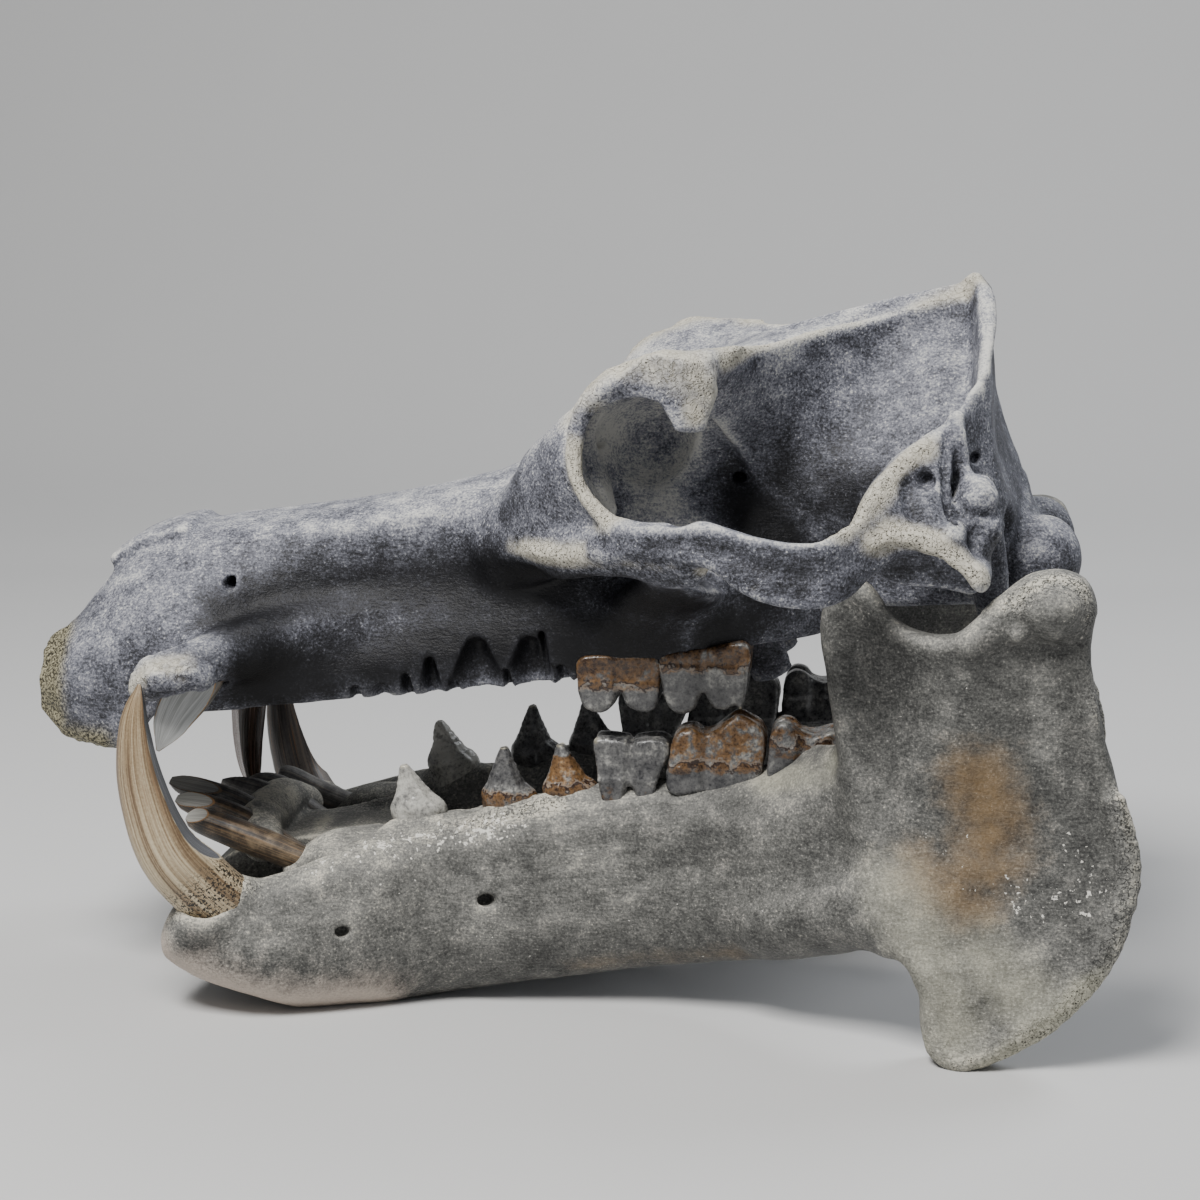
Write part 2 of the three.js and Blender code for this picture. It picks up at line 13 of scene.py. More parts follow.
import bpy
import numpy as np
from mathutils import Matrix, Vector

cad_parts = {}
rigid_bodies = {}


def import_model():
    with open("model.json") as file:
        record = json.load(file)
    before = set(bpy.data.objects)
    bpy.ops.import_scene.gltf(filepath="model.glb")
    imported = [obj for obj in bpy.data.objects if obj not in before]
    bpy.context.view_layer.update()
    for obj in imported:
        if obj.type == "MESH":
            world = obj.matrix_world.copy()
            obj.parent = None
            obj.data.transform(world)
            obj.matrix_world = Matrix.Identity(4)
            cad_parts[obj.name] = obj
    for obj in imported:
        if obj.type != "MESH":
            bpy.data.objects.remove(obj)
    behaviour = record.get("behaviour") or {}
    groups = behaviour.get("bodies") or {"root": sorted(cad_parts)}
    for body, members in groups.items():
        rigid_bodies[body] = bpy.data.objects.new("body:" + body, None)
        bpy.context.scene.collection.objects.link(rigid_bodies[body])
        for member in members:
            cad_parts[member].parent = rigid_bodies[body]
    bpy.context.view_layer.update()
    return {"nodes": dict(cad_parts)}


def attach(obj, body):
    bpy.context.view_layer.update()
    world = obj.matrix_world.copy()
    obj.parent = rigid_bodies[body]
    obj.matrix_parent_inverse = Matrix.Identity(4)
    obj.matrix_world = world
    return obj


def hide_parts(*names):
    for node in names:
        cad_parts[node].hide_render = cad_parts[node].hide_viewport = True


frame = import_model()
MM = 0.001  # metres in a millimetre
CENTRE_X = 2.0  # mm that the bones' own x = 0 lies behind the middle of the whole skull
print("solids loaded:", len(frame["nodes"]))

# %% [markdown]
# ## Lines and paths
#
# Most sizes of a skull change along its length. A table with a value for every slice would do, but a smooth
# line through a few measured places is shorter and easier to change. This one never swings past its knots,
# which keeps a bone from bulging where nobody asked for it.

# %% Smooth lines
def line(*knots):
    """A value at each place: cubic pieces whose slope at a knot is the harmonic mean of the slopes on its
    two sides."""
    place, value = np.array(knots, float).T
    slope = np.diff(value) / np.diff(place)
    product = slope[:-1] * slope[1:]
    total = slope[:-1] + slope[1:]
    inner = np.where(product > 0, 2 * product / np.where(total == 0, 1, total), 0)
    tangent = np.concatenate([slope[:1], inner, slope[-1:]])

    def at(x):
        x = np.clip(x, place[0], place[-1])
        i = np.clip(np.searchsorted(place, x, side="right") - 1, 0, len(slope) - 1)
        span = place[i + 1] - place[i]
        rise = value[i + 1] - value[i]
        t = (x - place[i]) / span
        a = tangent[i] * span - rise
        b = rise - tangent[i + 1] * span
        return value[i] + rise * t + t * (1 - t) * (a * (1 - t) + b * t)

    return at


def eased(x, low, high):
    """0 below low, 1 above high, and 3t squared minus 2t cubed between them."""
    t = np.clip((x - low) / (high - low), 0, 1)
    return t * t * (3 - 2 * t)


print("halfway down a line from 4 to 0:", line((0, 0), (1, 4), (2, 0))(1.5))


# %% Paths and rings
def path(points, steps):
    """Places along a Catmull-Rom curve: between two knots, the cubic that points along their neighbours."""
    knots = np.array(points, float)
    knots = np.vstack([2 * knots[0] - knots[1], knots, 2 * knots[-1] - knots[-2]])
    at = np.linspace(0, len(points) - 1, steps + 1)
    i = np.minimum(at.astype(int), len(points) - 2)
    t = (at - i)[:, None]
    a, b, c, d = (knots[i + k] for k in range(4))
    return b + 0.5 * t * (c - a + t * (2 * a - 5 * b + 4 * c - d + t * (3 * (b - c) + d - a)))


def ring(corners, steps=6):
    """A closed Catmull-Rom ring through corners, for one set of corners or for many at once."""
    corners = np.asarray(corners, float)
    a, b, c, d = (np.roll(corners, shift, axis=-2)[..., None, :] for shift in (1, 0, -1, -2))
    t = (np.arange(steps) / steps)[:, None]
    points = b + 0.5 * t * (c - a + t * (2 * a - 5 * b + 4 * c - d + t * (3 * (b - c) + d - a)))
    return points.reshape(*corners.shape[:-2], -1, corners.shape[-1])


print("a ring through four corners has", len(ring([(0, 0), (1, 0), (1, 1), (0, 1)])), "places")

# %% [markdown]
# ## The block of distances
#
# A `Block` holds the distances on an even grid. A bone's block covers only its right half, because its left
# half is the mirror image. Each solid is worked out only in the small window that it can touch. `add` melts
# a solid into the bone with a soft fillet, `carve` takes one away in the same soft way, and `press` pushes a
# shallow groove or a low ridge along a stroke, as a thumb would in clay.

# %% The block of distances
FAR = 60.0  # mm, the distance that stands for "nowhere near"


def melted(a, b, soft):
    """The smaller of two distances, rounded off where they differ by less than soft."""
    share = np.clip(0.5 + 0.5 * (b - a) / soft, 0, 1)
    return b + (a - b) * share - soft * share * (1 - share)


def window(marks, low, high):
    """Where the grid's marks lie inside a box, as a slice for each axis."""
    ends = [(np.searchsorted(m, a), np.searchsorted(m, b)) for m, a, b in zip(marks, low, high)]
    return tuple(slice(a, b) for a, b in ends)


class Block:
    def __init__(self, low, high, cell):
        self.cell = cell
        self.marks = [np.arange(a, b + cell, cell, dtype=np.float32) for a, b in zip(low, high)]
        self.field = np.full([len(m) for m in self.marks], FAR, np.float32)

    def local(self, solid, room):
        """The window of a solid, with some room round it, and the distances from the solid there."""
        low, high, distance = solid
        where = window(self.marks, np.subtract(low, room), np.add(high, room))
        x, y, z = (m[s] for m, s in zip(self.marks, where))
        if min(len(x), len(y), len(z)) == 0:
            return None, None
        return where, distance(x[:, None, None], y[None, :, None], z[None, None, :])

    def add(self, soft, *solids):
        for solid in solids:
            where, gap = self.local(solid, 2 * soft + 3)
            if where:
                self.field[where] = melted(self.field[where], gap, soft)

    def carve(self, soft, *solids):
        for solid in solids:
            where, gap = self.local(solid, 2 * soft + 3)
            if where:
                self.field[where] = -melted(-self.field[where], gap, soft)

    def press(self, depth, reach, *strokes):
        """Moves the surface in by depth along each stroke (out, if depth is negative), fading with the
        square of the distance from it over reach."""
        for points in strokes:
            stroke = bar(points, 1.0, steps=4 * len(points), room=2.4 * reach)
            where, gap = self.local(stroke, 2.3 * reach)
            if where:
                self.field[where] += depth * np.exp(-(((gap + 1) / reach) ** 2))

    def mirror(self):
        """The whole bone: the left half is the right half turned over at y = 0."""
        self.marks[1] = np.concatenate([-self.marks[1][:0:-1], self.marks[1]])
        self.field = np.concatenate([self.field[:, :0:-1], self.field], axis=1)

    def litres(self):
        """How much bone the block holds: the cells with a negative distance."""
        return round(float((self.field < 0).sum()) * self.cell**3 / 1e6, 2)


print("a fillet of 4 mm fills a corner by", -melted(0.0, 0.0, 4.0), "mm")

# %% [markdown]
# ## The solids that bones are made of
#
# Four kinds are enough. A *ball* is a stretched sphere, and a *bar* is an oval carried along a path.
# A *trunk* is a body whose slices are rings, which suits the long core of the skull, and a *plate* is an
# outline with a thickness, which suits a brow, a crest and the tall rear wing of the jaw.

# %% A ball
def oval_gap(u, v, w, a, b, c):
    """How far a point (u, v, w) is from an ellipsoid with half axes a, b, c, to first order."""
    near = np.sqrt((u / a) ** 2 + (v / b) ** 2 + (w / c) ** 2)
    steep = np.sqrt((u / a**2) ** 2 + (v / b**2) ** 2 + (w / c**2) ** 2)
    return near * (near - 1) / np.maximum(steep, 1e-4)


def ball(centre, radii, tip=0.0, yaw=0.0):
    """A stretched sphere, tipped about Y and then turned about Z by these degrees."""
    t, w = np.radians([tip, yaw])
    tipped = np.array([[np.cos(t), 0, np.sin(t)], [0, 1, 0], [-np.sin(t), 0, np.cos(t)]])
    turned = np.array([[np.cos(w), -np.sin(w), 0], [np.sin(w), np.cos(w), 0], [0, 0, 1]])
    axes = (turned @ tipped).T.astype(np.float32)
    reach = np.sqrt(((axes.T * np.array(radii)) ** 2).sum(1))

    def distance(x, y, z):
        x, y, z = x - np.float32(centre[0]), y - np.float32(centre[1]), z - np.float32(centre[2])
        u, v, w = (a[0] * x + a[1] * y + a[2] * z for a in axes)
        return oval_gap(u, v, w, *np.float32(radii))

    return np.subtract(centre, reach), np.add(centre, reach), distance


print("the box round a ball:", *ball((0, 0, 0), (10, 5, 5))[:2])


# %% A bar
def bar(points, across, tall=None, up=(0, 0, 1), steps=14, room=26):
    """An oval carried along a smooth path: across and tall are its half sizes, as numbers or as lists of
    values spread along the path, and up says which way the height points. Further out than room, in mm,
    the distance isn't worked out."""
    centres = path(points, steps).astype(np.float32)
    share = np.linspace(0, 1, steps + 1)

    def sizes(values):
        values = np.atleast_1d(values)
        return np.interp(share, np.linspace(0, 1, len(values)), values).astype(np.float32)

    wide = sizes(across)
    high = wide if tall is None else sizes(tall)
    reach = max(wide.max(), high.max())

    def distance(x, y, z):
        gap = np.full(np.broadcast_shapes(x.shape, y.shape, z.shape), FAR, np.float32)
        marks = (x.ravel(), y.ravel(), z.ravel())
        for i in range(steps):
            start, along = centres[i], centres[i + 1] - centres[i]
            size = np.linalg.norm(along)
            along = along / size
            side = np.cross(along, up)
            side = side / np.linalg.norm(side)
            rise = np.cross(side, along)
            low = np.minimum(start, centres[i + 1]) - reach - room
            where = window(marks, low, np.maximum(start, centres[i + 1]) + reach + room)
            dx = marks[0][where[0]][:, None, None] - start[0]
            dy = marks[1][where[1]][None, :, None] - start[1]
            dz = marks[2][where[2]][None, None, :] - start[2]
            if 0 in np.broadcast_shapes(dx.shape, dy.shape, dz.shape):
                continue
            passed = dx * along[0] + dy * along[1] + dz * along[2]
            t = np.clip(passed / size, 0, 1)
            u = dx * side[0] + dy * side[1] + dz * side[2]
            v = dx * rise[0] + dy * rise[1] + dz * rise[2]
            a = wide[i] + (wide[i + 1] - wide[i]) * t
            b = high[i] + (high[i + 1] - high[i]) * t
            there = oval_gap(u, v, passed - t * size, a, b, np.minimum(a, b))
            gap[where] = np.minimum(gap[where], there)
        return gap

    return centres.min(0) - reach, centres.max(0) + reach, distance


print("the box round a bar:", *bar([(0, 0, 0), (10, 0, 0)], 2)[:2])


# %% A trunk
TRUNK_REACH = 200  # mm, more than half of the skull's width


def trunk(span, section, middle):
    """A body whose slice at each x is a smooth ring through the section's corners. A point is inside when
    it is nearer to the middle of its slice than the ring is in its own direction."""

    def distance(x, y, z):
        places = x.ravel()
        rings = ring(section(places))
        centre = middle(places)
        flat = rings - centre[:, None, :]
        angle = np.arctan2(flat[..., 0], flat[..., 1])
        radius = np.hypot(flat[..., 0], flat[..., 1])
        turn = np.linspace(-np.pi, np.pi, 361)
        out = np.empty(np.broadcast_shapes(x.shape, y.shape, z.shape), np.float32)
        for i in range(len(places)):
            order = np.argsort(angle[i])
            reach = np.interp(turn, angle[i][order], radius[i][order], period=2 * np.pi)
            facing = reach / np.hypot(reach, np.gradient(reach, turn))
            dy, dz = y[0, :, :] - centre[i, 0], z[0, :, :] - centre[i, 1]
            way = (np.arctan2(dy, dz) + np.pi) * (360 / (2 * np.pi))
            gap = np.hypot(dy, dz) - np.interp(way, np.arange(361), reach)
            past = max(span[0] - places[i], places[i] - span[1])
            out[i] = np.maximum(gap * np.interp(way, np.arange(361), facing), past)
        return out

    return (span[0], -TRUNK_REACH, -10), (span[1], TRUNK_REACH, 430), distance


# %% A plate
def outline_gap(outline, u, v):
    """How far points of a plane are from a closed outline, negative inside: the nearest of its edges,
    with the side found by counting the edges that a ray from the point crosses."""
    best = np.full(np.broadcast_shapes(u.shape, v.shape), 1e9)
    inside = np.zeros(best.shape, bool)
    for (u0, v0), (u1, v1) in zip(outline, np.roll(outline, -1, axis=0)):
        eu, ev = u1 - u0, v1 - v0
        t = np.clip(((u - u0) * eu + (v - v0) * ev) / (eu * eu + ev * ev), 0, 1)
        best = np.minimum(best, (u - u0 - t * eu) ** 2 + (v - v0 - t * ev) ** 2)
        if ev != 0:
            crosses = (v0 > v) != (v1 > v)
            inside ^= crosses & (u < u0 + (v - v0) * eu / ev)
    return np.where(inside, -1, 1) * np.sqrt(best)


def plate(outline, thick, lean, thin=1, edge=6.0, steps=4):
    """A plate that is thin along axis number `thin`. Its outline is drawn in the other two axes, thick is
    its half thickness at a depth inside the outline, and lean says where its middle lies along the thin
    axis. Its rim is rounded by the soft maximum of the two distances."""
    outline = ring(outline, steps)
    first, second = (axis for axis in range(3) if axis != thin)
    u0, v0 = outline.min(0)
    u1, v1 = outline.max(0)
    middle = lean(np.linspace(u0, u1, 24)[:, None], np.linspace(v0, v1, 24)[None, :])
    low, high = np.zeros(3), np.zeros(3)
    low[[first, second, thin]] = u0, v0, np.min(middle) - 15
    high[[first, second, thin]] = u1, v1, np.max(middle) + 15

    def distance(*place):
        u, v, w = (np.moveaxis(place[axis], thin, 2) for axis in (first, second, thin))
        rim = outline_gap(outline, u[..., 0], v[..., 0])
        half = thick(-rim, u[..., 0], v[..., 0])[..., None]
        face = np.abs(w - lean(u[..., 0], v[..., 0])[..., None]) - half
        gap = -melted(-np.broadcast_to(rim[..., None], face.shape), -face, edge)
        return np.moveaxis(gap.astype(np.float32), 2, thin)

    return low, high, distance


def even(half):
    """The thickness of a plate that is the same all over."""
    return lambda depth, u, v: half + 0 * depth


square = np.array([(0, 0), (10, 0), (10, 10), (0, 10)])
print("3 mm outside a square:", outline_gap(square, np.array([13.0]), np.array([5.0])))

# %% [markdown]
# ## From distances to a skin
#
# The surface lies where the distance is nought. Marching cubes would find it, but their thin triangles
# shade badly. *Surface nets* do better: every grid cell that the surface cuts gets one point, the mean of
# the places where its edges are cut, and every cut edge gets one four-sided face round it. All of it is
# done with whole arrays.

# %% From distances to a skin
CORNERS = np.array([(i, j, k) for i in (0, 1) for j in (0, 1) for k in (0, 1)])
EDGES = [(a, b) for a in range(8) for b in range(a, 8) if np.abs(CORNERS[a] - CORNERS[b]).sum() == 1]


def skin(block):
    """Points and four-sided faces of the surface where the block's distances are nought."""
    field = block.field
    inside = field < 0
    shape = np.array(field.shape) - 1
    part = [inside[i : i + shape[0], j : j + shape[1], k : k + shape[2]] for i, j, k in CORNERS]
    filled = sum(p.astype(np.int8) for p in part)
    cut = (filled > 0) & (filled < 8)
    number = np.full(cut.shape, -1, np.int32)
    cells = np.argwhere(cut)
    number[cut] = np.arange(len(cells))
    value = np.stack([field[tuple((cells + corner).T)] for corner in CORNERS], axis=1)
    total = np.zeros((len(cells), 3))
    count = np.zeros((len(cells), 1))
    for a, b in EDGES:
        crossed = (value[:, a] < 0) != (value[:, b] < 0)
        step = value[:, a] - value[:, b]
        t = value[:, a] / np.where(crossed, step, 1)
        place = CORNERS[a] + t[:, None] * (CORNERS[b] - CORNERS[a])
        total += np.where(crossed[:, None], place, 0)
        count += crossed[:, None]
    points = np.array([m[0] for m in block.marks]) + (cells + total / count) * block.cell
    faces = []
    for axis in range(3):
        other = [a for a in range(3) if a != axis]
        ends = [slice(1, -1)] * 3
        ends[axis] = slice(0, -1)
        start = inside[tuple(ends)]
        ends[axis] = slice(1, None)
        turned = start != inside[tuple(ends)]
        at = np.argwhere(turned)
        at[:, other] += 1
        grow = np.zeros((4, 3), int)
        grow[:, other] = [(-1, -1), (0, -1), (0, 0), (-1, 0)]
        quad = np.stack([number[tuple((at + g).T)] for g in grow], axis=1)
        leaving = start[turned] == (axis != 1)
        faces.append(np.where(leaving[:, None], quad, quad[:, ::-1]))
    return points, np.concatenate(faces)


trial = Block((-12, -12, -12), (12, 12, 12), 1.0)
trial.add(1, ball((0, 0, 0), (10, 10, 10)))
trial_points, trial_faces = skin(trial)
reach = np.linalg.norm(trial_points, axis=1).mean()
print("a ball of 10 mm has", len(trial_faces), "faces,", reach.round(2), "mm from its middle")


# %% Noise
def lumps(points, size, seed):
    """Smooth noise from -1 to 1: random values on a lattice of this size, blended with eased weights."""
    lattice = np.random.default_rng(seed).uniform(-1, 1, (32, 32, 32)).astype(np.float32)
    scaled = np.asarray(points) / size + 100
    cell = np.floor(scaled).astype(int)
    t = scaled - cell
    t = t * t * (3 - 2 * t)
    total = 0
    for corner in CORNERS:
        weight = np.prod(np.where(corner, t, 1 - t), axis=1)
        total = total + weight * lattice[tuple(((cell + corner) % 32).T)]
    return total


rise = lumps(trial_points, 5, 0)
print("lumps of 5 mm on the ball:", rise.min().round(2), "to", rise.max().round(2))


# %% Blurs and samples
def blurred(volume, reach):
    """Each number replaced by the mean of those round it, twice over along each axis."""
    for axis in (0, 1, 2) * 2:
        pad = [(0, 0)] * 3
        pad[axis] = (reach + 1, reach)
        sums = np.cumsum(np.pad(volume, pad, mode="edge"), axis=axis, dtype=np.float32)
        sums = np.moveaxis(sums, axis, 0)
        mean = (sums[2 * reach + 1 :] - sums[: -2 * reach - 1]) / (2 * reach + 1)
        volume = np.moveaxis(mean, 0, axis)
    return volume


def sampled(volume, marks, points):
    """The volume's value at each point, blended from the eight numbers round it."""
    step = np.array([m[1] - m[0] for m in marks])
    scaled = (points - np.array([m[0] for m in marks])) / step
    cell = np.clip(np.floor(scaled).astype(int), 0, np.array(volume.shape) - 2)
    t = np.clip(scaled - cell, 0, 1)
    total = 0
    for corner in CORNERS:
        total = total + np.prod(np.where(corner, t, 1 - t), axis=1) * volume[tuple((cell + corner).T)]
    return total


solid = blurred((trial.field < 0).astype(np.float32), 2)
print("share of the ball round its own skin:", sampled(solid, trial.marks, trial_points).mean().round(2))


# %% Strokes
def near(points, reach, *strokes):
    """1 on the strokes, fading with the square of the distance from the nearest over reach. A stroke is a
    list of places, and one place alone is a spot. Strokes are drawn on both sides of the skull."""
    gap = np.full(len(points), 1e9)
    for stroke in strokes:
        knots = np.array(stroke, float)
        knots = path(knots, 5 * (len(knots) - 1)) if len(knots) > 1 else np.vstack([knots, knots + 0.01])
        for side in (1, -1):
            for start, end in zip(knots[:-1] * [1, side, 1], knots[1:] * [1, side, 1]):
                along = end - start
                t = np.clip((points - start) @ along / (along @ along), 0, 1)
                gap = np.minimum(gap, ((points - start - t[:, None] * along) ** 2).sum(1))
    return np.exp(-gap / reach**2)


share = near(np.array([(0, 0, 6.0)]), 6, [(-9, 0, 0), (9, 0, 0)])
print("6 mm from a stroke that reaches 6 mm:", share.round(2))


# %% Meshes
def in_metres(points):
    """The bones' own millimetres as the one long row of metres that a mesh wants."""
    return ((points + [CENTRE_X, 0, 0]) * MM).astype(np.float32).ravel()


def smooth(mesh):
    mesh.polygons.foreach_set("use_smooth", np.full(len(mesh.polygons), True))


def mesh_object(name, points, faces):
    """A Blender mesh from points in millimetres and faces that all have the same number of corners."""
    sides = faces.shape[1]
    mesh = bpy.data.meshes.new(name)
    mesh.vertices.add(len(points))
    mesh.vertices.foreach_set("co", in_metres(points))
    mesh.loops.add(faces.size)
    mesh.loops.foreach_set("vertex_index", faces.astype(np.int32).ravel())
    mesh.polygons.add(len(faces))
    mesh.polygons.foreach_set("loop_start", np.arange(0, faces.size, sides, dtype=np.int32))
    mesh.update(calc_edges=True)
    mesh.validate()
    smooth(mesh)
    piece = bpy.data.objects.new(name, mesh)
    bpy.context.scene.collection.objects.link(piece)
    return piece


def points_of(mesh):
    """The mesh's points in millimetres, as the bones count them."""
    flat = np.empty(len(mesh.vertices) * 3, np.float32)
    mesh.vertices.foreach_get("co", flat)
    return flat.reshape(-1, 3).astype(float) / MM - [CENTRE_X, 0, 0]


# %% What is done to a mesh
def roughened(mesh, points, relief):
    """Moves each point along its normal by the relief there, in mm, but never through the floor."""
    normals = np.empty(len(points) * 3, np.float32)
    mesh.vertex_normals.foreach_get("vector", normals)
    moved = points + normals.reshape(-1, 3).astype(float) * relief[:, None]
    moved[:, 2] = np.maximum(moved[:, 2], 0)
    mesh.vertices.foreach_set("co", in_metres(moved))
    mesh.update()


def store(mesh, name, values):
    """Keeps a number, or a triple, for each point under a name that the materials can read."""
    kind = "FLOAT" if values.ndim == 1 else "FLOAT_VECTOR"
    spot = mesh.attributes.new(name, kind, "POINT")
    spot.data.foreach_set("value" if kind == "FLOAT" else "vector", values.astype(np.float32).ravel())


def thinned(piece, most):
    """The piece's mesh with no more triangles than this: Decimate merges the edges that matter least."""
    triangles = len(piece.data.loops) - 2 * len(piece.data.polygons)
    if triangles > most:
        tool = piece.modifiers.new("thin", "DECIMATE")
        tool.ratio = most / triangles
        seen = piece.evaluated_get(bpy.context.evaluated_depsgraph_get())
        old = piece.data
        mesh = bpy.data.meshes.new_from_object(seen)
        piece.modifiers.clear()
        piece.data = mesh
        bpy.data.meshes.remove(old)
        mesh.name = piece.name
    smooth(piece.data)
    return piece.data


# %% A bone from its block
def bone_object(name, block, most, relief, masks):
    """A bone from its block. Its surface is first roughened along its normals by relief(points), in mm,
    and then thinned. The points keep how far they stand out (ridge) or lie sunken (hollow): the share of
    bone within a few mm and within a few cm of them, worked out from the blurred block. They also keep
    each of the masks, a dictionary of functions of the points."""
    piece = mesh_object(name, *skin(block))
    points = points_of(piece.data)
    roughened(piece.data, points, relief(points))
    before = len(piece.data.polygons)
    mesh = thinned(piece, most)
    points = points_of(mesh)
    marks = [m[::2] for m in block.marks]
    solid = (block.field[::2, ::2, ::2] < 0).astype(np.float32)
    store(mesh, "ridge", 1 - 2 * sampled(blurred(solid, 1), marks, points))
    store(mesh, "hollow", 2 * sampled(blurred(solid, 5), marks, points) - 1)
    for mask, measure in masks.items():
        store(mesh, mask, measure(points))
    print(name, "faces before and after thinning:", before, len(mesh.polygons))
    return piece


# %% [markdown]
# ## The cranium
#
# From the front: a broad muzzle that swells over the roots of the upper tusks, a narrow waist, the face
# with its high eye sockets, and the braincase with a crest that fans out behind the temples.
# Its core is a trunk whose half section has seven corners: the middle of the roof, the roof's edge,
# the waist, the cheek, the gum's two edges and the middle of the palate.

# %% Sizes along the cranium
SNOUT_X, BRAIN_REAR_X = -317, 250
BONE_CELL = 1.6  # mm between the marks of the bones' grids
CRANIUM_TRIANGLES, JAW_TRIANGLES = 194000, 190000

roof = line(
    (SNOUT_X, 203), (-300, 219), (-284, 237), (-262, 255), (-221, 268), (-172, 275), (-112, 285), (-52, 300),
    (-14, 319), (24, 343), (56, 357), (84, 371), (108, 379), (160, 391), (200, 399), (222, 402), (236, 345),
    (BRAIN_REAR_X, 300),
)
roof_half = line(
    (SNOUT_X, 40), (-284, 34), (-250, 40), (-112, 42), (-30, 44), (20, 56), (56, 66), (82, 70), (100, 52),
    (118, 34), (142, 18), (172, 9), (224, 9), (BRAIN_REAR_X, 14),
)
roof_drop = line(
    (SNOUT_X, 4), (-250, 8), (-112, 9), (20, 12), (84, 10), (112, 5), (216, 6), (BRAIN_REAR_X, 8)
)
waist_half = line(
    (SNOUT_X, 56), (-285, 72), (-225, 78), (-180, 63), (-112, 50), (-50, 52), (0, 60), (40, 56), (80, 47),
    (108, 43), (150, 50), (200, 68), (226, 70), (BRAIN_REAR_X, 40),
)
waist_at = line(
    (SNOUT_X, 178), (-225, 220), (-112, 236), (-8, 262), (50, 300), (108, 312), (200, 318), (226, 308),
    (BRAIN_REAR_X, 276),
)
gum_half = line(
    (SNOUT_X, 54), (-285, 70), (-225, 84), (-180, 75), (-112, 66), (-30, 70), (30, 74), (90, 73), (120, 62),
    (142, 50), (200, 64), (226, 66), (BRAIN_REAR_X, 38),
)
gum_at = line(
    (SNOUT_X, 160), (-298, 146), (-262, 144), (-240, 166), (-190, 170), (-98, 178), (-40, 184), (-6, 187),
    (6, 194), (40, 195), (72, 206), (104, 214), (136, 217), (156, 232), (BRAIN_REAR_X, 240),
)
palate_at = line(
    (SNOUT_X, 172), (-225, 182), (-98, 204), (40, 216), (80, 222), (112, 240), (140, 248), (BRAIN_REAR_X, 246)
)


print("height of the forehead:", roof(84), "mm")


# %% The core of the cranium
def cranium_section(x):
    """The corners of one slice, going round from the middle of the roof, as [y, z]."""
    zero = 0 * x
    side = gum_half(x)
    half = [
        (zero, roof(x)),
        (roof_half(x), roof(x) - roof_drop(x)),
        (waist_half(x), waist_at(x)),
        (side, (waist_at(x) + 2 * gum_at(x)) / 3),
        (side - 3, gum_at(x)),
        (side - 22, gum_at(x) + 2),
        (zero, palate_at(x)),
    ]
    corners = half + [(-y, z) for y, z in half[-2:0:-1]]
    return np.array(corners).transpose(2, 0, 1)


def cranium_middle(x):
    return np.stack([0 * x, 0.45 * roof(x) + 0.55 * palate_at(x)], axis=1)


cranium = Block((-326, 0, 140), (312, 186, 430), BONE_CELL)
cranium.add(1, trunk((SNOUT_X, BRAIN_REAR_X), cranium_section, cranium_middle))
print("cells in half of the cranium:", cranium.field.size)

# %% [markdown]
# ## The braincase and its crests
#
# Chewing muscles filled the hollow beside the braincase, and the crests are where they held on. The one
# along the middle is a low keel. The one behind is a thin fan that leans back at the top and turns forward
# towards the ear, so it is a plate drawn from behind whose x depends on how far out it is.

# %% The braincase and its crests
fan_x = line(
    (0, 222), (40, 226), (70, 226), (90, 218), (108, 207), (124, 190), (134, 176), (146, 166), (160, 150)
)


def fan_thickness(depth, y, z):
    """Thin at the edge, and thicker with each step inwards until it joins the braincase."""
    return 2.6 + 0.16 * np.clip(depth, 0, 60)


cranium.add(
    12,
    bar([(112, 0, 374), (150, 0, 384), (222, 0, 401)], [3, 4], [9, 12]),  # the keel along the middle
    ball((170, 0, 292), (80, 60, 46), tip=-6),  # the braincase
    ball((214, 0, 320), (24, 58, 62), tip=-14),  # and its rear, which leans back
)
fan = [
    (-20, 411), (6, 415), (20, 409), (36, 400), (54, 382), (72, 368), (90, 357), (106, 343), (120, 331),
    (134, 318), (142, 304), (138, 288), (110, 276), (60, 262), (0, 262), (-20, 330),
]
cranium.add(9, plate(fan, fan_thickness, lambda y, z: fan_x(y) + 0 * z, thin=0, edge=4))
fan_bead = [(221, 0, 411), (228, 20, 405), (229, 48, 387), (226, 74, 366)]  # a thicker edge on its back
cranium.add(6, bar(fan_bead, [2, 3, 2.5, 2], [3, 4, 3, 2], up=(1, 0, 0)))
cranium.add(
    12,
    ball((226, 46, 300), (18, 44, 44), tip=-10),  # the back wall under the fan
    ball((232, 0, 268), (34, 56, 30)),  # the base, between the two condyles
)
cranium.add(
    4,
    ball((259, 38, 258), (24, 23, 27), tip=28, yaw=-12),  # condyle
    # the spur beside it
    bar([(222, 92, 292), (230, 86, 262), (234, 80, 234)], [11, 6], [15, 8], up=(1, 0, 0)),
)
cranium.carve(5, ball((286, 0, 272), (40, 17, 18)))  # where the spinal cord comes in
cranium.carve(10, ball((252, 60, 334), (17, 36, 34)))  # the hollow on each side of the back wall
cranium.carve(4, ball((244, 70, 282), (10, 9, 12)), ball((240, 72, 262), (9, 8, 16)))  # outside the condyle
cranium.press(1.4, 5, [(236, 6, 390), (246, 8, 340)])  # beside the keel of the back wall
cranium.press(1.4, 5, [(200, 62, 352), (150, 50, 330)])  # along the temple's wall
print("litres in the right half, with the braincase:", cranium.litres())

# %% [markdown]
# ## The brows and the eye sockets
#
# A hippopotamus carries its eyes high, so each brow is a broad plate that rises above the forehead and
# narrows behind into the line where the temple's muscle began. A tongue of the plate hangs down behind
# the eye without reaching the cheek.

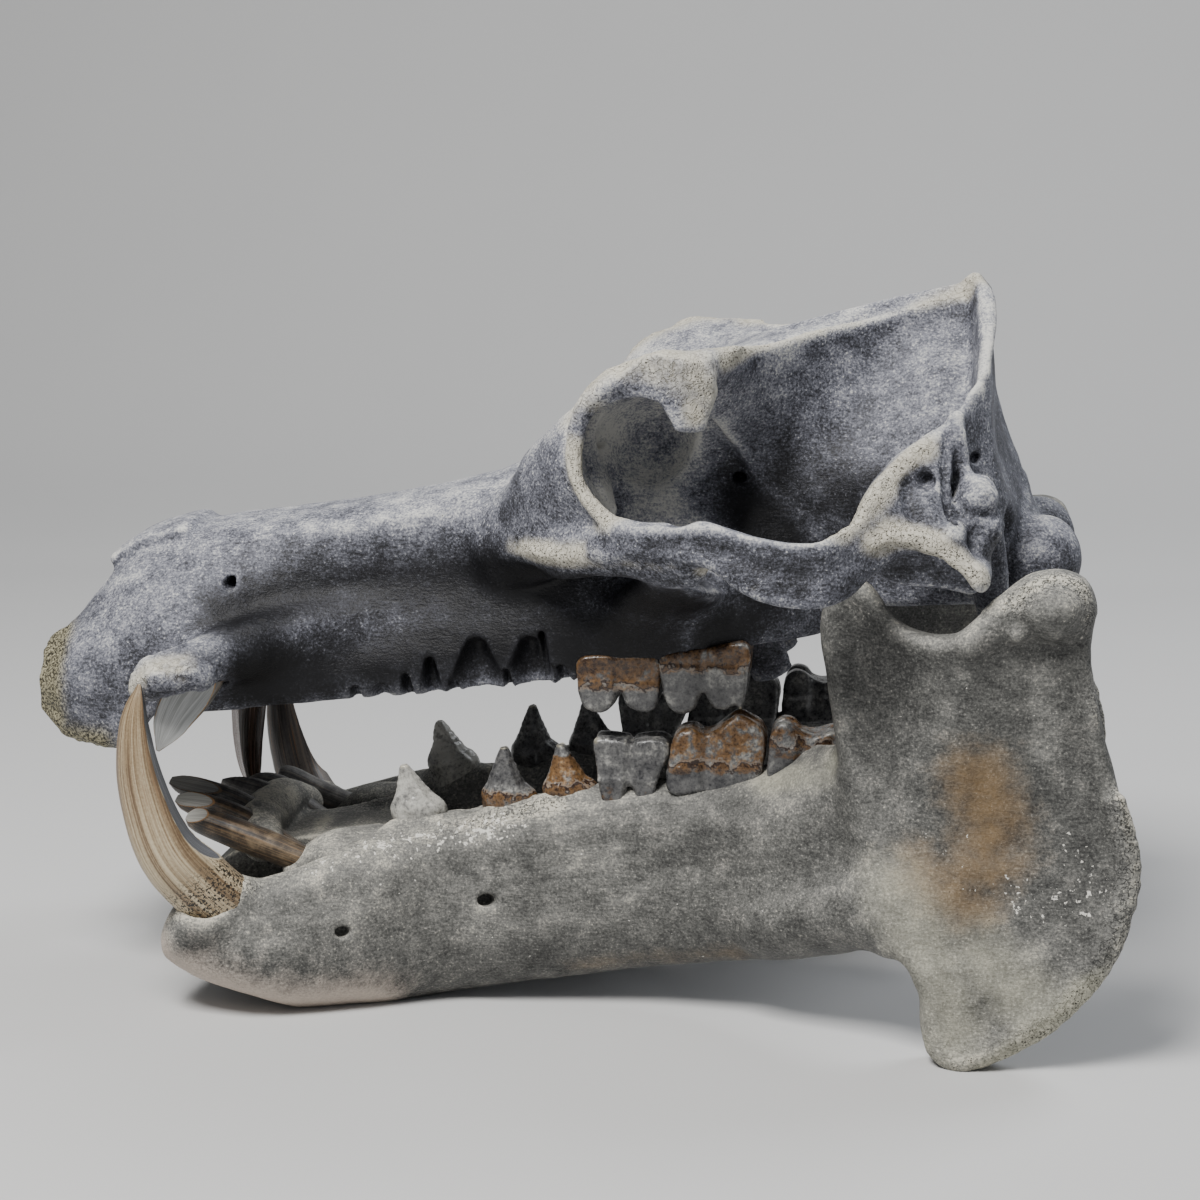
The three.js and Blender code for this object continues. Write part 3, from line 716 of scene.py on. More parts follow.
# %% The brows
def brow_top(x, y):
    """The forehead's own height, plus a rise towards the brow that fades out behind it."""
    rise = line((-10, 8), (8, 19), (24, 25), (52, 23), (76, 10), (100, 1))(x)
    return roof(x) - 7 + (rise + 1.5) * eased(y, 34, 108) - 0.9 * np.clip(y - 116, 0, 20)


forehead = [
    (-30, -20), (-20, 30), (0, 62), (4, 90), (8, 108), (20, 121), (40, 127), (62, 126), (78, 118),
    (88, 100), (96, 76), (102, 50), (106, 20), (106, -20),
]
cranium.add(
    14,
    bar(  # from the muzzle's side up to the front of the socket
        [(-60, 44, 262), (-30, 58, 276), (-2, 80, 298), (16, 98, 316)], [8, 16, 26, 26], [12, 22, 34, 34]
    ),
    bar(  # from the muzzle's side out to the cheekbone
        [(-40, 56, 256), (4, 96, 270), (36, 122, 274), (72, 143, 271)], [14, 18, 14, 10], [14, 17, 15, 13]
    ),
    bar([(46, 54, 222), (60, 88, 246), (76, 124, 264)], [34, 28, 20], [20, 14, 9]),  # up from the last molar
)
cranium.add(8, plate(forehead, even(7.5), brow_top, thin=2, edge=7))
print("litres in the right half, with the brows:", cranium.litres())

# %% The temple
temple = [
    (72, 376), (92, 378), (110, 381), (135, 387), (170, 393), (214, 400), (216, 360), (190, 320), (160, 300),
    (140, 280), (124, 266), (112, 284), (101, 304), (90, 322), (80, 338), (70, 352),
]
temple_edge = line((70, 112), (84, 102), (99, 82), (125, 54), (152, 32), (179, 16), (214, 8))


def temple_lean(x, z):
    """From the temple's line at the top the wall slopes in and down to the braincase."""
    return 44 + (temple_edge(x) - 50) * eased(z, 296, 378 + 0.12 * (x - 84))


cranium.add(10, plate(temple, even(5), temple_lean, edge=5))
print("the temple's wall, half way down:", temple_lean(np.array(125.0), np.array(337.0)).round(), "mm out")

# %% The eye sockets
eye_pocket = [
    (6, 330), (10, 345), (24, 353), (46, 356), (60, 352), (72, 344), (80, 336), (97, 308), (112, 286),
    (126, 262), (128, 236), (96, 240), (60, 262), (30, 284), (14, 302),
]
cranium.carve(3, plate(eye_pocket, even(60), lambda x, z: 104 + 0.08 * (340 - z), edge=18))
cranium.carve(4, ball((44, 96, 322), (34, 56, 34), tip=12))
socket_edge = [  # from its front corner down and back to the cheek
    (30, 121, 364), (14, 121, 351), (8, 123, 330), (10, 126, 312), (20, 131, 298), (36, 137, 288),
    (58, 143, 286),
]
tongue = [  # the hook behind the eye
    (34, 368), (46, 358), (54, 354), (60, 345), (64, 339), (77, 339), (80, 346), (84, 360), (80, 374),
    (60, 380), (44, 379),
]


def tongue_lean(x, z):
    return 123 - 0.5 * np.clip(x - 66, 0, 40) + 0.05 * (370 - z)


cranium.add(
    3.5,
    bar(socket_edge, [7, 6, 5, 4, 4, 4, 5], [9, 7, 5, 4, 4, 4, 5], up=(0, 1, 0), steps=24),
    plate(tongue, even(4.5), tongue_lean, edge=3),
)
cranium.carve(2, bar([(34, 70, 304), (25, 92, 292), (22, 104, 282)], [10, 8, 5]))  # the hole in the floor
cranium.carve(1.5, ball((92, 44, 304), (4, 10, 3)))  # the nerve's hole at the back
print("litres in the right half, without the sockets:", cranium.litres())

# %% [markdown]
# ## The cheek arches
#
# The arch runs from under the eye to the ear. Its front half is the cheekbone, with a rough band of muscle
# scars, and its rear half belongs to the braincase and carries the socket of the jaw. A bar would make it
# round, but the real arch is a tall, flat strap, so it is a plate.

# %% The cheek arches
arch = [
    (20, 284), (35, 290), (51, 288), (68, 291), (80, 295), (95, 292), (116, 287), (138, 286), (149, 290),
    (159, 297), (166, 307), (174, 314), (186, 306), (186, 284), (176, 272), (168, 266), (158, 257),
    (143, 252), (122, 253), (100, 262), (79, 272), (46, 275), (20, 270),
]
arch_out = line(
    (20, 126), (35, 137), (51, 145), (68, 151), (80, 155), (100, 160), (120, 163), (143, 162), (158, 155),
    (170, 147), (184, 140),
)


def arch_lean(x, z):
    return arch_out(x) + 0.05 * (280 - z) - 0.25 * np.clip(z - 296, 0, 30)


cranium.add(9, plate(arch, even(6.5), arch_lean, edge=5))
print("width over the arches:", 2 * (arch_out(120) + 6.5), "mm")

# %% The socket of the jaw and the ear
ear_face = [  # the flat three-cornered face between the fan and the jaw's socket
    (160, 298), (166, 312), (177, 324), (192, 335), (206, 341), (210, 332), (209, 312), (212, 294),
    (224, 274), (225, 263), (214, 272), (198, 281), (180, 287), (164, 286),
]


def ear_face_lean(x, z):
    return 144 - 0.6 * (z - 286) - 0.2 * np.clip(x - 185, 0, 40)


under_face = [  # the smooth face below the socket's rim, set back a little
    (164, 284), (180, 288), (200, 282), (216, 272), (226, 262), (222, 255), (206, 258), (190, 259),
    (176, 262), (166, 270),
]
cranium.add(8, plate(ear_face, even(7), ear_face_lean, edge=5))
cranium.add(
    7,
    bar([(206, 76, 292), (202, 112, 292), (196, 142, 288)], [24, 22, 20], [13, 11, 8]),  # the socket's roof
    bar([(216, 96, 280), (226, 124, 268), (226, 146, 266)], [7, 5], [9, 7]),  # the stop behind it
)
cranium.carve(6, ball((200, 142, 256), (22, 34, 18), tip=16))  # the socket itself
cranium.add(3, plate(under_face, even(5), lambda x, z: 134 + 0.3 * (z - 272), edge=4))
cranium.press(-2.6, 3, [  # the rim of the socket
    (160, 154, 280), (172, 152, 287), (186, 150, 288), (202, 150, 283), (214, 150, 275), (225, 150, 264),
])
cranium.add(6, bar(  # the root of the fan, above the ear
    [(212, 105, 346), (213, 109, 337), (216, 112, 322), (219, 114, 312)], [4, 4, 3, 4], [4, 5, 3, 4]
))
cranium.carve(2, bar(  # the ear's groove
    [(207, 116, 338), (206, 125, 322), (208, 134, 304), (211, 141, 290)], [2, 3, 3, 3]
))
cranium.carve(1.5, ball((197, 131, 315), (4.5, 8, 4.5)))  # the pit in the face
cranium.press(4.2, 4.0, [  # the crescent that runs down from the pit
    (192, 131, 319), (187, 137, 310), (188, 142, 300), (195, 145, 293), (204, 146, 289),
])
# the face's edge
cranium.press(-2.4, 3, [(164, 150, 302), (171, 142, 317), (184, 132, 330), (202, 122, 338)])
cranium.press(-2.4, 3, [(196, 138, 305), (200, 140, 299)])  # the lip of the pit
cranium.add(  # the rough lump behind the ear
    4,
    ball((223, 119, 303), (12, 14, 15)),
    ball((218, 125, 293), (8, 9, 9)),
    ball((229, 121, 290), (9, 11, 11)),
    ball((222, 123, 280), (11, 14, 12)),
)
cranium.press(2.2, 2.6, [(213, 133, 297), (222, 134, 299), (232, 129, 296)])  # the creases of the lump
cranium.press(2.2, 2.6, [(224, 135, 290), (221, 137, 282)])
cranium.carve(1, ball((222, 94, 323), (3, 8, 3)))  # the small hole behind it
print("litres in the right half, with the arch:", cranium.litres())

# %% [markdown]
# ## The muzzle, the gums and the palate
#
# The muzzle swells over the roots of the upper tusks. Between that swelling and the roof runs a long hollow.
# The front end is broken, and most of the upper cheek teeth have dropped out of their sockets.

# %% The muzzle
tusk_swelling = [(-96, 40, 226), (-146, 58, 216), (-184, 78, 206), (-208, 95, 199), (-232, 104, 193)]
cranium.add(15, bar(tusk_swelling, [4, 8, 13, 15, 12], [6, 11, 16, 15, 12]))
cranium.add(
    9,
    ball((-283, 42, 176), (27, 34, 34)),  # the swollen front corner, over the lost upper incisors
    bar([(-236, 14, 265), (-262, 14, 257), (-279, 14, 246)], [20, 16, 13], [5, 5, 4]),  # the lip of the nose
)
cranium.carve(6, ball((-320, 0, 212), (84, 34, 25), tip=-6))  # the opening of the nose
cranium.carve(6, ball((-292, 0, 190), (34, 14, 20)))  # and its floor
flank_hollow = [(-210, 92, 236), (-170, 78, 238), (-120, 70, 240), (-70, 72, 244), (-20, 90, 249)]
cranium.carve(
    9,
    bar(flank_hollow, [6, 11, 14, 14, 9], [8, 11, 13, 14, 9]),
    bar([(-186, 98, 180), (-152, 88, 192), (-112, 80, 204)], [4, 5, 3], [8, 7, 4]),  # behind the swelling
)
cranium.add(6, bar(  # the knob in front of the tusk's root
    [(-238, 110, 188), (-226, 115, 195), (-206, 108, 194)], [7, 10, 7], [8, 10, 8]
))
cranium.carve(1.5, bar(  # the socket of the upper tusk
    [(-206, 88, 196), (-216, 98, 180), (-222, 104, 160)], [14, 15, 15], [15, 16, 16], up=(0, 1, 0)
))
cranium.carve(2, bar([(-270, 24, 172), (-276, 32, 160), (-282, 40, 140)], 9, 11))  # a lost upper incisor
# the groove under the lip
cranium.carve(2, bar([(-294, 0, 236), (-292, 26, 233), (-294, 46, 226)], [8, 7, 6], [5, 5, 4]))
cranium.carve(1, bar([(-206, 92, 237), (-198, 50, 240)], [3.8, 3], [4.6, 3.5]))  # the nerve's hole
cranium.press(2.4, 4, [(-284, 14, 239), (-284, 30, 237), (-288, 42, 230)])  # a crease under the lip
cranium.press(2.6, 2.4, [(-150, 74, 214), (-142, 74, 216), (-134, 73, 215)])  # a crack
cranium.press(-1.0, 5, [(-220, 44, 262), (-160, 46, 268), (-90, 46, 281)])  # the roof's edge
# the nose's seam
cranium.press(0.9, 2.5, [(-264, 40, 252), (-240, 46, 256), (-190, 50, 262), (-120, 52, 272)])
print("litres in the right half, with the muzzle:", cranium.litres())

# %% The gums and the palate
sockets = (  # of the lost teeth: place along the gum, half width, top and mouth, in mm
    (-127, 6, 181, 168), (-112, 12, 180, 166), (-97, 6, 189, 168), (-83, 8, 198, 172), (-70, 7, 186, 174),
    (-56, 17, 206, 176), (-39, 4, 194, 178), (-25, 16, 208, 178), (-18, 5, 216, 182), (-7, 8, 196, 180),
)
for place, wide, top, low in sockets:
    narrowing = [1.4 * wide, 0.45 * wide]
    cranium.carve(1.0, bar([(place + 2, 76, low - 6), (place, 74, top)], narrowing, 20, up=(0, 1, 0)))
# the palate
cranium.carve(10, bar([(-150, 0, 168), (-40, 0, 180), (90, 0, 190)], [26, 34, 34], [14, 20, 18]))
cranium.carve(8, ball((140, 0, 226), (44, 22, 20)))  # the throat behind it
cranium.add(3, bar(  # the wing of bone behind the last molar
    [(92, 38, 236), (102, 38, 210), (111, 34, 190)], [7, 4], [20, 12], up=(1, 0, 0)
))
print("empty tooth sockets on each side:", len(sockets))

# %% The scars of muscles and the seams between bones
strokes = (  # depth, reach and places, in mm; a negative depth raises a ridge
    # the cheek's crest
    (-2.2, 4, [(-80, 70, 262), (-40, 90, 268), (0, 114, 268), (36, 132, 273), (76, 148, 272)]),
    (1.8, 2.2, [(80, 158, 296), (84, 158, 287), (100, 161, 275), (121, 165, 264), (136, 165, 256)]),  # a seam
    # a hollow band
    (1.6, 5, [(50, 150, 281), (76, 159, 283), (104, 166, 276), (136, 169, 270), (158, 165, 276)]),
    (-1.4, 2.5, [  # the upper edge of the arch
        (40, 142, 288), (68, 155, 290), (84, 160, 292), (104, 165, 288), (134, 168, 286), (156, 164, 294),
    ]),
    (-1.6, 3, [(60, 152, 268), (84, 160, 264), (108, 166, 258), (136, 168, 254)]),  # its lower edge
    (-1.8, 3, [(84, 100, 374), (99, 84, 383), (125, 56, 390), (152, 34, 396)]),  # the temple's line
    (-1.4, 12, [(160, 64, 352), (196, 74, 330)]),  # swellings of the temple's wall
    (-1.4, 12, [(120, 46, 350), (150, 56, 320), (180, 70, 300)]),
    (1.6, 14, [(190, 66, 366), (205, 84, 340)]),  # the hollow under the fan
)
for depth, reach, places in strokes:
    cranium.press(depth, reach, places)
cranium.mirror()
print("litres in the whole cranium:", cranium.litres())

# %% [markdown]
# ## The skin of the cranium
#
# Old bone isn't the same all over. It is pale and porous where muscles held on and spongy where it broke.
# The muzzle's flank, the eye socket's deep corner and the lower temple are darkened as painted shade, and
# the socket's front wall is lightened as painted light. A picture could be painted for this, but strokes
# along the bone's own features are quicker to move when the shape changes. Each function gives a number
# for every point.


# %% Where the cranium is scarred, broken and rough
def cranium_scars(points):
    """Where muscles and gums held on: pale, rough and full of pores."""
    brow = near(points, 17, [(10, 112, 350), (24, 112, 366), (48, 116, 374), (70, 116, 366), (78, 110, 352)])
    ridges = near(
        points, 9,
        [(-80, 74, 263), (-40, 90, 268), (0, 114, 268), (36, 132, 273), (76, 148, 272), (110, 160, 262)],
        [(-240, 112, 188), (-229, 116, 196), (-216, 112, 197)],
        [(176, 148, 290), (200, 150, 284), (222, 150, 268)],
        [(221, 118, 303), (220, 114, 284)],
        [(8, 124, 330), (12, 128, 308), (28, 134, 292)],
        [(18, 121, 354), (36, 118, 370), (62, 116, 370), (72, 122, 348)],
        [(196, 126, 334), (180, 136, 324), (166, 146, 304), (152, 158, 292)],
        [(84, 100, 374), (99, 84, 383), (125, 56, 390), (160, 30, 398), (220, 8, 411)],
        [(170, 154, 286), (190, 150, 286), (214, 150, 274)],
    )
    return np.maximum(ridges, 0.85 * brow)


def cranium_broken(points):
    """The front end, where the bone snapped and its spongy inside shows."""
    front = eased(-points[:, 0], 292, 304) * eased(216 - points[:, 2], 0, 10)
    under = eased(-points[:, 0], 262, 276) * eased(160 - points[:, 2], 0, 12)
    return np.maximum(front, under)


def cranium_relief(points):
    """Broad lumps, finer lumps, and a crumbled surface where the bone is spongy or scarred."""
    calm = 0.55 * lumps(points, 34, 1) + 0.35 * lumps(points, 13, 2) + 0.16 * lumps(points, 5.5, 3)
    crumbs = 0.8 * lumps(points, 6, 4) + 0.7 * lumps(points, 3.2, 5)
    gums = near(points, 9, [(-134, 76, 172), (-60, 76, 178), (0, 76, 188)])
    rugged = near(points, 15, [(222, 118, 306), (224, 118, 284)], [(-238, 112, 190), (-222, 116, 200)])
    rough = 0.8 * cranium_scars(points) + 1.0 * cranium_broken(points) + 0.9 * gums + 1.9 * rugged
    return calm + rough * crumbs


# %% Painted shade and painted light on the cranium
def cranium_painted_shade(points):
    """How dark the bone is painted where it lies in shadow: painted shade on the muzzle's flank, the eye
    socket's deep corner, the lower temple and the upper tusk's socket, and a little darkening on the ear's
    face, the condyle, the snout's front, the arch and the tusk's swelling. The front wall of the socket and
    the upper front of the temple have less than nothing: painted light."""

    def at(reach, *spots):
        return near(points, reach, *spots)

    flank = at(
        28,
        [(-190, 80, 226), (-150, 72, 238), (-90, 66, 240), (-40, 72, 242), (10, 88, 246), (60, 98, 250)],
        [(-176, 86, 188), (-130, 78, 196), (-80, 72, 204), (-20, 74, 210), (40, 78, 218)],
    )
    flank *= 1 - 0.6 * at(14, [(-150, 78, 212), (-110, 72, 222)])
    dark = [
        flank,
        at(20, [(84, 56, 300), (100, 52, 284), (118, 50, 268)], [(80, 70, 220), (100, 60, 236)]),
        0.6 * at(28, [(120, 52, 300), (160, 58, 290)]),
        0.6 * at(22, [(140, 56, 304), (166, 66, 300)]),
        0.55 * at(15, [(-208, 106, 202), (-188, 95, 206)]),
        0.34 * at(26, [(194, 134, 308), (214, 130, 290)], [(262, 38, 258)]),
        0.34 * at(26, [(-300, 50, 196), (-290, 40, 216)]),
        0.34 * at(30, [(60, 152, 278), (110, 164, 270), (150, 160, 270)]),
        0.34 * at(24, [(150, 62, 316), (172, 72, 310)], [(-214, 104, 208), (-180, 88, 210)]),
    ]
    lit = at(32, [(14, 66, 336), (40, 58, 322), (62, 52, 318)], [(30, 80, 300), (50, 70, 296)])
    lit += 0.22 * at(26, [(100, 72, 360), (130, 54, 362)])
    return np.maximum.reduce(dark) - 1.3 * lit * (1 - at(14, [(96, 50, 280), (112, 50, 270)]))


# %% The cranium as a piece
# shade is painted shade, and painted light where it is below nought
cranium_masks = {"scar": cranium_scars, "broken": cranium_broken, "shade": cranium_painted_shade}
cranium_piece = bone_object("cranium", cranium, CRANIUM_TRIANGLES, cranium_relief, cranium_masks)
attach(cranium_piece, "root")
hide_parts("rostrum", "face", "braincase", "occiput", "cheek_arch_left", "cheek_arch_right")

# %% [markdown]
# ## The lower jaw
#
# Two long bodies meet in a heavy chin. Behind the last tooth each body turns into a tall, thin wing. The
# wing's hinge meets the cranium, its front point held the biting muscle, and its lower corner hooks down
# to the floor. A trunk makes the body, two plates make the chin and the wing.

# %% The body of the jaw
JAW_FRONT_X, JAW_REAR_X = -228, 190

jaw_top = line(
    (-236, 54), (-205, 66), (-183, 73), (-155, 82), (-122, 95), (-100, 102), (-60, 110), (16, 127),
    (60, 133), (110, 143), (150, 164), (190, 140),
)
jaw_floor = line(
    (-236, 34), (-213, 18), (-184, 8), (-150, -1), (-108, -1), (-74, 2), (-28, 10), (17, 17), (64, 25),
    (110, 34), (150, 46), (190, 64),
)
tooth_row = line(
    (-236, 98), (-170, 100), (-122, 82), (-93, 57), (-36, 53), (33, 58), (82, 62), (126, 72), (150, 100),
    (190, 126)
)
jaw_middle = line(
    (-236, 98), (-190, 98), (-120, 84), (-60, 66), (20, 66), (90, 76), (150, 104), (190, 126)
)
jaw_half = line(
    (-236, 14), (-205, 30), (-180, 33), (-150, 31), (-80, 22), (20, 21), (110, 22), (150, 18), (190, 9)
)


def jaw_section(x):
    """The corners of one slice of the right body, going round from the tooth row, as [y, z]."""
    top, floor, row, mid, half = jaw_top(x), jaw_floor(x), tooth_row(x), jaw_middle(x), jaw_half(x)
    tall = (top - floor) / 2
    corners = [
        (row, top),
        (np.maximum(row + 13, mid + 0.7 * half), top - 0.3 * tall),
        (mid + half, floor + 0.9 * tall),
        (mid + 0.8 * half, floor + 0.3 * tall),
        (mid, floor),
        (mid - 0.7 * half, floor + 0.3 * tall),
        (mid - 0.9 * half, floor + 0.9 * tall),
        (row - 13, top - 0.3 * tall),
    ]
    return np.array(corners).transpose(2, 0, 1)


def jaw_centre(x):
    return np.stack([jaw_middle(x), (jaw_top(x) + jaw_floor(x)) / 2], axis=1)


jaw = Block((-254, 0, -6), (318, 186, 292), BONE_CELL)
jaw.add(3, trunk((JAW_FRONT_X, JAW_REAR_X), jaw_section, jaw_centre))
chin = [
    (-238, 38), (-222, 62), (-200, 76), (-176, 81), (-150, 84), (-112, 86), (-88, 82), (-82, 66),
    (-104, 32), (-150, 10), (-206, 14),
]
jaw.add(8, plate(chin, even(84), lambda x, z: 0 * x + 0 * z, edge=8))
jaw.add(8, bar(  # round the incisors
    [(-196, 0, 88), (-194, 30, 88), (-186, 52, 82)], [15, 14, 12], [14, 13, 10]
))
jaw.add(14, bar(  # the bridge behind them
    [(-164, 62, 70), (-144, 58, 82), (-116, 50, 86)], [9, 19, 22], [8, 10, 9]
))
jaw.add(6, bar(  # the chin's front edge
    [(-214, 40, 50), (-219, 76, 44), (-222, 104, 40), (-214, 118, 42)], [12, 12, 11, 10], [12, 15, 13, 12]
))

print("litres in the right half, without the wing:", jaw.litres())

# %% [markdown]
# ## The wing of the jaw
#
# The wing is thickest at its rim, where tendons pulled on it, and thin in the middle, so its thickness
# depends on the depth inside the outline.

# %% The wing of the jaw
wing = [
    (160, 110), (154, 145), (150, 168), (146, 196), (141, 222), (141, 240), (147, 254), (158, 261),
    (169, 256), (179, 245), (190, 238), (206, 235), (228, 240), (244, 254), (262, 268), (280, 266),
    (286, 248), (286, 222), (294, 184), (301, 158), (309, 120), (306, 92), (296, 64), (281, 39), (262, 21),
    (242, 7), (222, -2), (205, 4), (199, 20), (198, 40), (190, 54), (176, 57), (168, 76),
]


def wing_thickness(depth, x, z):
    """Thin inside, with a bead along the rim."""
    return 7 + 3.4 * np.exp(-(((depth - 7) / 8) ** 2)) + 2 * eased(z, 150, 60)


def wing_lean(x, z):
    return 108 + 36 * eased(x, 120, 225) + 0.04 * (130 - z)


jaw.add(12, plate(wing, wing_thickness, wing_lean, edge=7))
jaw.add(16, bar(  # the smooth change from the body to the wing
    [(112, 96, 60), (146, 112, 70), (176, 128, 80), (206, 140, 90)], [14, 15, 14, 10], [16, 17, 19, 20]
))
wing_bead = [
    (298, 152, 150), (307, 152, 118), (303, 154, 88), (290, 154, 54), (262, 153, 24), (232, 152, 10),
]
jaw.add(
    6,
    ball((263, 136, 250), (22, 27, 19)),  # the hinge
    bar([(222, 144, 232), (240, 141, 244), (256, 138, 254)], [9, 12, 14], [8, 12, 12]),  # its neck
    ball((246, 151, 238), (5, 5, 5)),  # the knob on the neck
    bar(wing_bead, 7, 5, up=(0, 1, 0)),
)
strokes = (  # depth, reach and places, in mm
    (4.5, 42, [(232, 160, 108), (252, 162, 150)]),  # the broad hollow where the chewing muscle lay
    (3.0, 24, [(176, 138, 216), (186, 142, 190)]),  # hollows below the front point and the hinge
    (3.0, 24, [(262, 158, 206), (270, 160, 186)]),
    (-2.5, 9, [(160, 122, 150), (176, 136, 118), (188, 142, 84), (200, 150, 48)]),  # the ridge before it
    (-1.6, 6, [(244, 160, 236), (230, 160, 205), (222, 160, 178)]),  # the ridge down from the hinge
    (1.3, 5, [(286, 164, 150), (262, 164, 122)]),  # three marks of the muscle's tendons
    (1.3, 5, [(290, 164, 110), (262, 164, 96)]),
    (1.3, 5, [(276, 163, 66), (250, 163, 80)]),
)
for depth, reach, places in strokes:
    jaw.press(depth, reach, places)
print("litres in the right half, with the wing:", jaw.litres())

# %% The sockets and the holes of the jaw
jaw.add(7, bar(  # the collar of the lower tusk
    [(-213, 117, 50), (-204, 117, 56), (-188, 110, 64)], [13, 18, 16], [12, 16, 16]
))
jaw.carve(1.5, bar(  # its socket
    [(-236, 130, 132), (-222, 125, 100), (-205, 117, 74)], [17, 17, 16.5], [20, 21.5, 20.5], up=(0, 1, 0)
))
for row, reach in ((15, -250), (38, -250), (62, -240)):
    jaw.carve(2, bar([(reach, row, 106), (-212, row, 96), (-204, row, 92)], [10, 10, 9], up=(0, 1, 0)))
jaw.carve(5, ball((-214, 92, 78), (16, 12, 14)))  # the gap between the incisors and the tusk
jaw.carve(1.2, bar([(-121, 122, 52), (-128, 108, 49)], [5, 4], 3))  # the nerves' two holes
jaw.carve(1.2, bar([(-44, 94, 65), (-50, 80, 62)], 4, [2.6, 3]))
jaw.carve(1.0, ball((-135, 102, 17), (3.5, 8, 2.2)), ball((-82, 100, 56), (2.5, 7, 2)))  # two smaller ones
jaw.press(1.8, 4.5, [(-121, 118, 52), (-140, 122, 53), (-168, 126, 50)])  # the grooves in front of them
jaw.press(1.8, 4.5, [(-44, 91, 65), (-62, 93, 62), (-88, 98, 56)])
jaw.press(2.5, 10, [(-196, 128, 70), (-160, 122, 62), (-120, 112, 72)])  # the hollow behind the tusk
jaw.press(2.2, 18, [(-70, 92, 82), (20, 90, 84), (90, 100, 92)])  # the flat side under the cheek teeth
gum_line = [(-118, 96, 98), (-60, 78, 106), (16, 78, 122), (96, 84, 138), (140, 104, 152)]
jaw.press(-2.0, 7, gum_line)
for place, row, top, size in ((-93, 56, 104, 12), (-36, 53, 112, 11), (-6, 54, 120, 11)):
    jaw.press(-3, 7, [(place - size, row + 10, top), (place + size, row + 10, top + 2)])
jaw.carve(  # empty sockets between the front cheek teeth
    2, ball((-62, 56, 118), (10, 9, 12)), ball((-112, 70, 108), (8, 8, 6)), ball((-20, 54, 124), (4, 8, 7))
)
jaw.carve(12, bar(  # the trough between the two bodies
    [(-146, 0, 112), (-110, 0, 108), (-70, 0, 100)], [40, 40, 44], [14, 20, 30]
))
jaw.mirror()
heights = jaw.marks[2][None, None, :]
jaw.field = np.maximum(jaw.field, -0.2 - heights)  # small flats to stand on
print("litres in the whole jaw:", jaw.litres())


# %% Where the jaw is scarred, stained, clean and chalky
def jaw_scars(points):
    """The rims of the sockets, the hinge, the corner of the chin and the wing's rim: pale and porous."""
    return near(
        points, 8,
        [(-226, 116, 58), (-196, 128, 72), (-172, 112, 84)],
        [(-150, 112, 92), (-110, 92, 104), (-60, 74, 108), (-10, 72, 120)],
        [(244, 150, 256), (262, 150, 268), (280, 150, 262), (288, 152, 240), (292, 153, 200)],
        [(-226, 104, 42), (-216, 118, 44)],
        [(303, 153, 152), (309, 153, 120), (306, 155, 92), (298, 156, 66), (280, 156, 38), (250, 155, 14),
         (222, 152, 4), (206, 148, 12)],
    )


def jaw_stain(points):
    """Where iron in the ground water browned the bone."""
    wing = near(points, 30, [(226, 158, 158), (236, 158, 138), (230, 158, 116)])
    low = near(points, 26, [(196, 152, 108), (226, 156, 92)])
    keel = near(points, 15, [(0, 84, 18), (50, 86, 26), (96, 94, 36)])
    return np.maximum.reduce([wing, 0.8 * low, 0.62 * keel])


def jaw_pink_and_lit(points):
    """The underside of the chin: its own pinkish colour, made paler as painted light where it faces down."""
    edge = [(-228, 108, 28), (-206, 114, 22), (-180, 116, 10), (-150, 110, 2), (-112, 100, -2)]
    return near(points, 21, edge)


def jaw_tint(points):
    """Paler bone low on the wing and along its rims, darker bone high on it, and the blue-grey inner face."""
    pale = near(
        points, 30,
        [(184, 142, 96), (204, 152, 60), (216, 153, 24)],
        [(232, 154, 62), (256, 154, 40)],
    )
    edges = near(
        points, 13,
        [(286, 154, 46), (262, 154, 20), (236, 153, 4)],
        [(154, 112, 158), (146, 104, 146), (112, 88, 140)],
    )
    pale = np.maximum(pale, 1.2 * edges)
    dark = near(points, 26, [(158, 122, 200), (170, 130, 226), (176, 134, 196)])
    inside = wing_lean(points[:, 0], points[:, 2]) - np.abs(points[:, 1])
    inner = eased(inside, 0, 4) * eased(points[:, 2], 168, 190)
    return pale - 0.7 * dark + 0.5 * inner


def jaw_chalk(points):
    """Where white crusts still cling."""
    return near(
        points, 13,
        [(-150, 110, 88), (-118, 94, 100), (-64, 78, 102), (-40, 76, 104)],
        [(206, 160, 140), (212, 160, 124)],
        [(232, 160, 100), (280, 160, 96), (276, 160, 130)],
    )


def jaw_relief(points):
    """Broad lumps and finer lumps, and a crumbled surface where the bone is scarred."""
    calm = 0.6 * lumps(points, 38, 11) + 0.35 * lumps(points, 14, 12) + 0.15 * lumps(points, 5.5, 13)
    crumbs = 0.8 * lumps(points, 5.5, 14) + 0.6 * lumps(points, 3.2, 15)
    return calm + 0.8 * jaw_scars(points) * crumbs


# %% The jaw as a piece
jaw_masks = {"scar": jaw_scars, "stain": jaw_stain, "chalk": jaw_chalk, "clean": jaw_pink_and_lit, "tint": jaw_tint}
jaw_piece = bone_object("lower_jaw", jaw, JAW_TRIANGLES, jaw_relief, jaw_masks)
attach(jaw_piece, "root")
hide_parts("chin", "jaw_left", "jaw_right", "ramus_left", "ramus_right")

# %% [markdown]
# ## Cheek teeth
#
# The front cheek teeth are single cones, and the molars have four worn cusps each, joined in pairs. Each
# one is a small block of its own with finer marks. Left and right teeth are mirror images, so the skin is
# worked out once and turned over at y = 0.

# %% A tooth and its mirror image
TOOTH_CELL = 0.75  # mm between the marks of a tooth's grid
TOOTH_TRIANGLES = 9000


